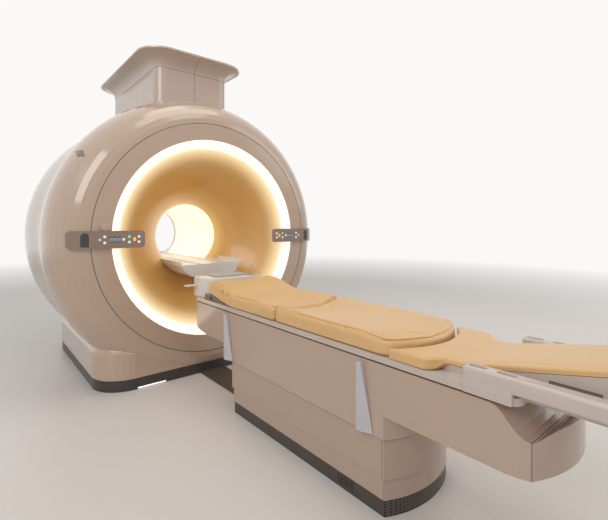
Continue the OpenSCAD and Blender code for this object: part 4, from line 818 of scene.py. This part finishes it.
def makeRail():
    r = railSize
    bm = bmesh.new()
    outline = softOutline([
        (r["half"], r["head"], r["headCorner"]), (r["inner"], r["head"], r["headCorner"]),
        (r["inner"], r["innerFoot"], r["innerCorner"]), (-r["inner"], r["innerFoot"], r["innerCorner"]),
        (-r["inner"], r["head"], r["headCorner"]), (-r["half"], r["head"], r["headCorner"]),
        (-r["half"], r["foot"], r["corner"]), (r["half"], r["foot"], r["corner"])])
    slots = [slotLoop(side * r["holeX"], y, r["holeLong"], r["holeWide"])
             for side in (-1, 1) for y in r["holeY"]]
    plate(bm, outline, r["top"], r["low"], r["round"], slots, r["holeDeep"], r["holeLip"])
    back = r["head"] - r["boxLong"]
    profile = [(r["boxIn"], r["boxUp"]), (r["boxIn"], r["boxLow"]), (r["lipX"], r["boxLow"]),
               (r["lipX"], r["lipLow"]), (r["boxOut"], r["lipLow"]), (r["boxOut"], r["boxUp"])]
    for side in (-1, 1):
        face = bm.faces.new([bm.verts.new((side * x, back, z)) for x, z in profile])
        ahead = vertsOf(bmesh.ops.extrude_face_region(bm, geom=[face])["geom"])
        bmesh.ops.translate(bm, verts=ahead, vec=(0, r["boxLong"] - 0.001, 0))
        box = {edge for vert in (list(face.verts) + ahead) for edge in vert.link_edges}
        bmesh.ops.recalc_face_normals(bm, faces=list({near for edge in box for near in edge.link_faces}))
        roundEdges(bm, list(box), r["boxRound"])
    return newPiece("footRail", bm, "tabletop", railLook, ["foot_rail"], smoothAngle=40,
                    tidy=False)


finSize = {"wall": 0.264, "clear": 0.0005, "out": 0.026, "low": 0.34, "high": 0.635, "edge": 0.024,
           "spread": 0.052, "footThick": 0.004, "round": 0.003, "places": (-1.552, -2.72),
           "capRadius": 0.008, "capTaper": 0.82, "capHigh": 0.0045, "capDrops": (0.03, 0.075)}


def makeFins():
    # each fin is the hull of its upright edge and its wide foot, with two round caps on the edge
    f = finSize
    bm = bmesh.new()
    near, far = f["wall"] + f["clear"], f["wall"] + f["out"]
    corners = [(x, y, z) for x in (near, far) for y in (-f["edge"], 0) for z in (f["low"], f["high"])]
    corners += [(x, y, z) for x in (near, f["wall"] + f["footThick"]) for y in (-f["edge"] - f["spread"], 0)
                for z in (f["low"], f["low"] + f["footThick"])]
    spots = [(side, place) for side in (-1, 1) for place in f["places"]]
    for side, place in spots:
        verts = [bm.verts.new((side * x, place + y, z)) for x, y, z in corners]
        made = bmesh.ops.convex_hull(bm, input=verts)
        loose = {vert for vert in vertsOf(made["geom_interior"] + made["geom_unused"]) if vert.is_valid}
        bmesh.ops.delete(bm, geom=list(loose), context="VERTS")
    bmesh.ops.dissolve_limit(bm, angle_limit=math.radians(3), verts=bm.verts, edges=bm.edges)
    roundEdges(bm, sharpEdges(bm, 0.5), f["round"], clamp=True)
    for side, place in spots:
        for drop in f["capDrops"]:
            made = bmesh.ops.create_cone(bm, cap_ends=True, segments=28, radius1=f["capRadius"],
                                         radius2=f["capRadius"] * f["capTaper"], depth=f["capHigh"])["verts"]
            moved = Matrix.Translation((side * far, place - f["edge"] / 2, f["high"] - drop))
            bmesh.ops.transform(bm, matrix=moved @ Matrix.Rotation(side * math.pi / 2, 4, "Y"), verts=made)
    return newPiece("beamFins", bm, "lift", finLook, ["beam_fins"], tidy=False)


capSize = {"half": 0.244, "depth": 0.06, "foot": -3.4103, "bottom": 0.434, "rim": 0.552, "rise": 0.024,
           "riseRun": 0.048, "wall": 0.007, "dish": 0.016, "dishSlope": 0.002, "round": 0.0016, "steps": 56}


def capLoop(bm, inset, height):
    # outline of the cap: its curved front from side to side, with the straight back between its ends
    c = capSize
    radius = (c["half"] ** 2 + c["depth"] ** 2) / (2 * c["depth"])
    reach = math.acos((radius - c["depth"] + inset) / (radius - inset))
    loop = []
    for step in range(c["steps"] + 1):
        turn = reach * (2 * step / c["steps"] - 1)
        y = c["foot"] - c["depth"] + radius - (radius - inset) * math.cos(turn)
        loop.append(bm.verts.new(((radius - inset) * math.sin(turn), y, height(y))))
    return loop


def makeBeamCap():
    # foot cap of the beam: its rim dips at the seam, and a shallow dish closes its top
    c = capSize
    bm = bmesh.new()

    def rimHeight(y):
        return c["rim"] + c["rise"] * smooth((c["foot"] - y) / c["riseRun"])

    loops = [capLoop(bm, 0, lambda y: c["bottom"]), capLoop(bm, 0, rimHeight),
             capLoop(bm, c["wall"], rimHeight),
             capLoop(bm, c["wall"] + c["dishSlope"], lambda y: rimHeight(y) - c["dish"])]
    count = len(loops[0])
    for lower, upper in zip(loops, loops[1:]):
        for place in range(count):
            after = (place + 1) % count
            bm.faces.new((lower[place], lower[after], upper[after], upper[place]))
    for loop in (loops[0], loops[-1]):
        bm.faces.new(loop)
    rims = [edge for edge in bm.edges if any(all(v in loop for v in edge.verts) for loop in loops[1:3])]
    roundEdges(bm, rims, c["round"])
    return newPiece("beamCap", bm, "lift", tableLook, ["beam_cap"])


wedgeSize = {"half": 0.2575, "from": -1.568, "to": -1.302, "bottom": 0.6825, "thin": 0.0015, "rise": 0.0492,
             "round": 0.0012, "earX": 0.242, "earRadius": 0.0155, "earHigh": 0.0355, "earOut": 0.0735,
             "earIn": 0.02, "earCorner": 0.0145, "earRound": 0.004}


def makeWedge():
    w = wedgeSize
    bm = bmesh.new()
    bmesh.ops.create_grid(bm, x_segments=18, y_segments=14, size=1.0)
    for vert in bm.verts:
        share = (vert.co.y + 1) / 2
        vert.co = (vert.co.x * w["half"], w["from"] + share * (w["to"] - w["from"]), w["bottom"])
    for vert in vertsOf(bmesh.ops.extrude_face_region(bm, geom=list(bm.faces))["geom"]):
        share = (vert.co.y - w["from"]) / (w["to"] - w["from"])
        vert.co.z += w["thin"] + share * w["rise"]
    bmesh.ops.recalc_face_normals(bm, faces=bm.faces)
    roundEdges(bm, sharpEdges(bm, 1.0), w["round"], 2)
    back, front = w["to"] - w["earIn"], mattress["headY"] + w["earOut"]
    for side in (-1, 1):
        x0, x1 = sorted((side * (w["earX"] - w["earRadius"]), side * w["half"]))
        outline = softOutline([(x0, back, 0.0), (x1, back, 0.0), (x1, front, w["earCorner"]),
                               (x0, front, w["earCorner"])])
        plate(bm, outline, w["bottom"] + w["earHigh"], w["bottom"], w["earRound"])
    return newPiece("headWedge", bm, "tabletop", foamLook, ["head_wedge"], smoothAngle=40,
                    tidy=False)


print("rail, fins, foot cap and wedge")
makeRail()
makeFins()
makeBeamCap()
makeWedge()


# head coil

coilSize = {"half": 0.252, "back": -1.012, "front": -1.268, "shoulder": -1.14, "cutIn": 0.047,
            "chamfer": 0.012, "bottom": 0.6825, "top": 0.8253, "bend": 0.11, "drop": 0.065, "round": 0.006,
            "tabLow": 0.7603, "tabThick": 0.008, "tabRadius": 0.034, "tabOut": 0.06, "tabIn": 0.012,
            "tabCorner": 0.0335, "tabRound": 0.003, "fingerLong": 0.03, "fingerWide": 0.018,
            "fingerDeep": 0.004, "fingerLip": 0.001, "socket": (0.206, -1.18), "socketRadius": 0.02,
            "socketRise": 0.03}
# radius inside the socket's own, and depth below the coil's top
socketProfile = ((0.003, 0.006), (0.0008, 0.0072), (0.0002, 0.01))


def makeCoilBase():
    c = coilSize
    bm = bmesh.new()
    h, b = c["half"], c["chamfer"]
    corners = [(-h, c["shoulder"]), (c["cutIn"] - h, c["front"]), (h - c["cutIn"], c["front"]),
               (h, c["shoulder"]), (h, c["back"] - b), (h - b, c["back"]), (b - h, c["back"]),
               (-h, c["back"] - b)]
    face = bm.faces.new([bm.verts.new((x, y, c["bottom"])) for x, y in corners])
    made = bmesh.ops.extrude_face_region(bm, geom=[face])["geom"]
    bmesh.ops.translate(bm, verts=vertsOf(made), vec=(0, 0, c["top"] - c["bottom"]))
    slope = Vector((c["drop"], 0, h - c["bend"])).normalized()
    cut = bmesh.ops.bisect_plane(bm, geom=bm.verts[:] + bm.edges[:] + bm.faces[:],
                                 plane_co=(c["bend"], 0, c["top"]), plane_no=slope, clear_outer=True)
    bmesh.ops.edgeloop_fill(bm, edges=edgesOf(cut["geom_cut"]))
    bmesh.ops.recalc_face_normals(bm, faces=bm.faces)
    roundEdges(bm, sharpEdges(bm, 0.3), c["round"], clamp=True)
    middle = c["back"] - c["tabRadius"] - b
    root, end = -h + c["tabIn"], -h - c["tabOut"] - c["tabRadius"]
    near, far = middle - c["tabRadius"], middle + c["tabRadius"]
    outline = softOutline([(root, near, 0), (root, far, 0), (end, far, c["tabCorner"]),
                           (end, near, c["tabCorner"])], steps=12)
    finger = [(-h - c["tabOut"] + y, middle + x) for x, y in slotLoop(0, 0, c["fingerLong"], c["fingerWide"])]
    plate(bm, outline, c["tabLow"] + c["tabThick"], c["tabLow"], c["tabRound"], [finger], c["fingerDeep"],
          c["fingerLip"])
    rings = [(c["socketRadius"] - inside, c["top"] - below) for inside, below in socketProfile]
    lathe(bm, [(0, rings[0][1])] + rings + [(rings[-1][0], c["bottom"] + c["socketRise"])], c["socket"])
    return newPiece("coilBase", bm, "tabletop", coilLook, ["coil_base"], tidy=False)


# each channel is pressed in across the pad and holds its depth, its place and its width as shares
padSize = {"x0": -0.149, "x1": 0.183, "y0": -1.195, "y1": -1.027, "corner": 0.03, "thick": 0.0105,
           "crown": 0.0015, "rim": 0.004, "clear": 0.0004,
           "channels": ((0.0022, 0.42, 0.05), (0.002, 0.8, 0.08))}
# radius, and height over the coil's top
sleeveProfile = ((0.0079, 0.006), (0.0079, 0.015), (0.0068, 0.0165), (0.0068, 0.0185), (0.0075, 0.0195),
                 (0.0072, 0.0215), (0.0052, 0.0218), (0, 0.0218))


def coilFall(x):
    return max(0.0, x - coilSize["bend"]) * coilSize["drop"] / (coilSize["half"] - coilSize["bend"])


def makeFlexCoil():
    p = padSize
    halfX, halfY = (p["x1"] - p["x0"]) / 2, (p["y1"] - p["y0"]) / 2
    midX, midY = (p["x1"] + p["x0"]) / 2, (p["y1"] + p["y0"]) / 2

    def section(u, v):
        w = 2 * v - 1
        x, y = u * halfX, w * halfY
        a, b = (abs(x) - halfX + p["corner"]) / p["corner"], (abs(y) - halfY + p["corner"]) / p["corner"]
        if a > 0 and b > 0:
            pull = max(a, b) / math.hypot(a, b)
            x = math.copysign(halfX - p["corner"] + a * pull * p["corner"], x)
            y = math.copysign(halfY - p["corner"] + b * pull * p["corner"], y)
        crown = p["crown"] * (1 - u * u) * (1 - w * w)
        channel = sum(depth * math.exp(-((abs(at) - middle) / width) ** 2)
                      for at, (depth, middle, width) in zip((u, w), p["channels"]))
        low = coilSize["top"] + p["clear"] - coilFall(x + midX)
        return x + midX, y + midY, low, low + p["thick"] + crown - channel

    bm = padMesh(section, 60, 34, p["rim"])
    lathe(bm, [(r, coilSize["top"] + rise) for r, rise in sleeveProfile], cableRoute[0][:2])
    piece = newPiece("flexCoil", bm, "tabletop", coilPadLook, ["flex_coil"], smoothAngle=60,
                     tidy=False)


cableRoute = [(0.104, -1.042, 0.8473), (0.104, -1.042, 0.8593), (0.107, -1.046, 0.8793),
              (0.116, -1.054, 0.8973), (0.13, -1.067, 0.9093), (0.147, -1.084, 0.9173),
              (0.164, -1.102, 0.9193), (0.18, -1.121, 0.9153), (0.193, -1.14, 0.9053),
              (0.202, -1.158, 0.8913), (0.206, -1.172, 0.8753), (0.206, -1.18, 0.8613),
              (0.206, -1.18, 0.8513)]
cableSize = {"diameter": 0.01, "length": 0.2506}


def makeCable():
    curve = bpy.data.curves.new("coilCable", "CURVE")
    curve.dimensions = "3D"
    curve.bevel_depth = cableSize["diameter"] / 2
    curve.bevel_resolution = 5
    curve.use_fill_caps = True
    spline = curve.splines.new("BEZIER")
    spline.bezier_points.add(len(cableRoute) - 1)
    for point, place in zip(spline.bezier_points, cableRoute):
        point.co = place
        point.handle_left_type = "AUTO"
        point.handle_right_type = "AUTO"
    spline.resolution_u = 8
    piece = newObject("coilCable", curve)
    curve.materials.append(sleeveLook)
    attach(piece, "tabletop")
    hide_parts("coil_cable")
    print("cable length", round(spline.calc_length(), 4))
    return piece


plugBox = [Vector(corner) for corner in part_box("coil_plug")]
plugSize = {"clear": 0.0002, "footEdge": 0.002, "shoulder": 0.003, "bodyShare": 0.55, "neck": 0.0098,
            "neckUp": 0.0004, "rings": 4, "ringsUp": 0.0008, "ringsShort": 0.001, "ring": 0.0094,
            "taper": 0.0009, "groove": 0.0018, "end": 0.0051}
# share of a ring's height, and whether it lies in the groove
ringProfile = ((0.0, 0), (0.55, 0), (0.62, 1), (0.95, 1))


def makePlug():
    p = plugSize
    bm = bmesh.new()
    low, high = plugBox[0].z + p["clear"], plugBox[1].z - p["clear"]
    r = (plugBox[1].x - plugBox[0].x) / 2 - p["clear"]
    body = low + p["bodyShare"] * (high - low)
    profile = [(0, low), (r - p["footEdge"], low), (r, low + p["footEdge"]), (r, body - p["shoulder"]),
               (r - p["shoulder"], body), (p["neck"], body + p["neckUp"])]
    step = (high - body - p["ringsShort"]) / p["rings"]
    for ring in range(p["rings"]):
        z = body + p["ringsUp"] + ring * step
        wide = p["ring"] - p["taper"] * ring
        profile += [(wide - inward * p["groove"], z + step * share) for share, inward in ringProfile]
    profile += [(p["end"], high), (0, high)]
    lathe(bm, profile, coilSize["socket"])
    return newPiece("coilPlug", bm, "tabletop", sleeveLook, ["coil_plug"], smoothAngle=30)


print("head coil")
makeCoilBase()
makeFlexCoil()
cable = makeCable()
plug = makePlug()


# small pieces on the gantry

tabSize = {"x": -0.843, "z": 1.209, "radius": 0.033, "front": -0.8935, "back": -0.8835, "round": 0.0025}


def makeTabDisc():
    t = tabSize
    bm = bmesh.new()
    bmesh.ops.create_cone(bm, cap_ends=True, segments=48, radius1=t["radius"], radius2=t["radius"],
                          depth=t["back"] - t["front"])
    roundEdges(bm, sharpEdges(bm, 1.0), t["round"])
    place = Matrix.Translation((t["x"], (t["front"] + t["back"]) / 2, t["z"]))
    bmesh.ops.transform(bm, matrix=place @ Matrix.Rotation(math.pi / 2, 4, "X"), verts=bm.verts)
    return newPiece("tabDisc", bm, "gantry", coverLook)


kickLight = {"x0": -0.608, "x1": -0.395, "front": -0.8345, "back": -0.83, "low": 0.002, "high": 0.013,
             "round": 0.0015}


def makeKickLight():
    k = kickLight
    bm = bmesh.new()
    roundedBlock(bm, (k["x0"], k["front"], k["low"]), (k["x1"], k["back"], k["high"]), k["round"])
    return newPiece("kickLight", bm, "gantry", stripLook)


print("small pieces")
stripLook = litPlastic("stripLight", (0.95, 0.93, 0.86), 0.9)
makeTabDisc()
makeKickLight()

print("done")
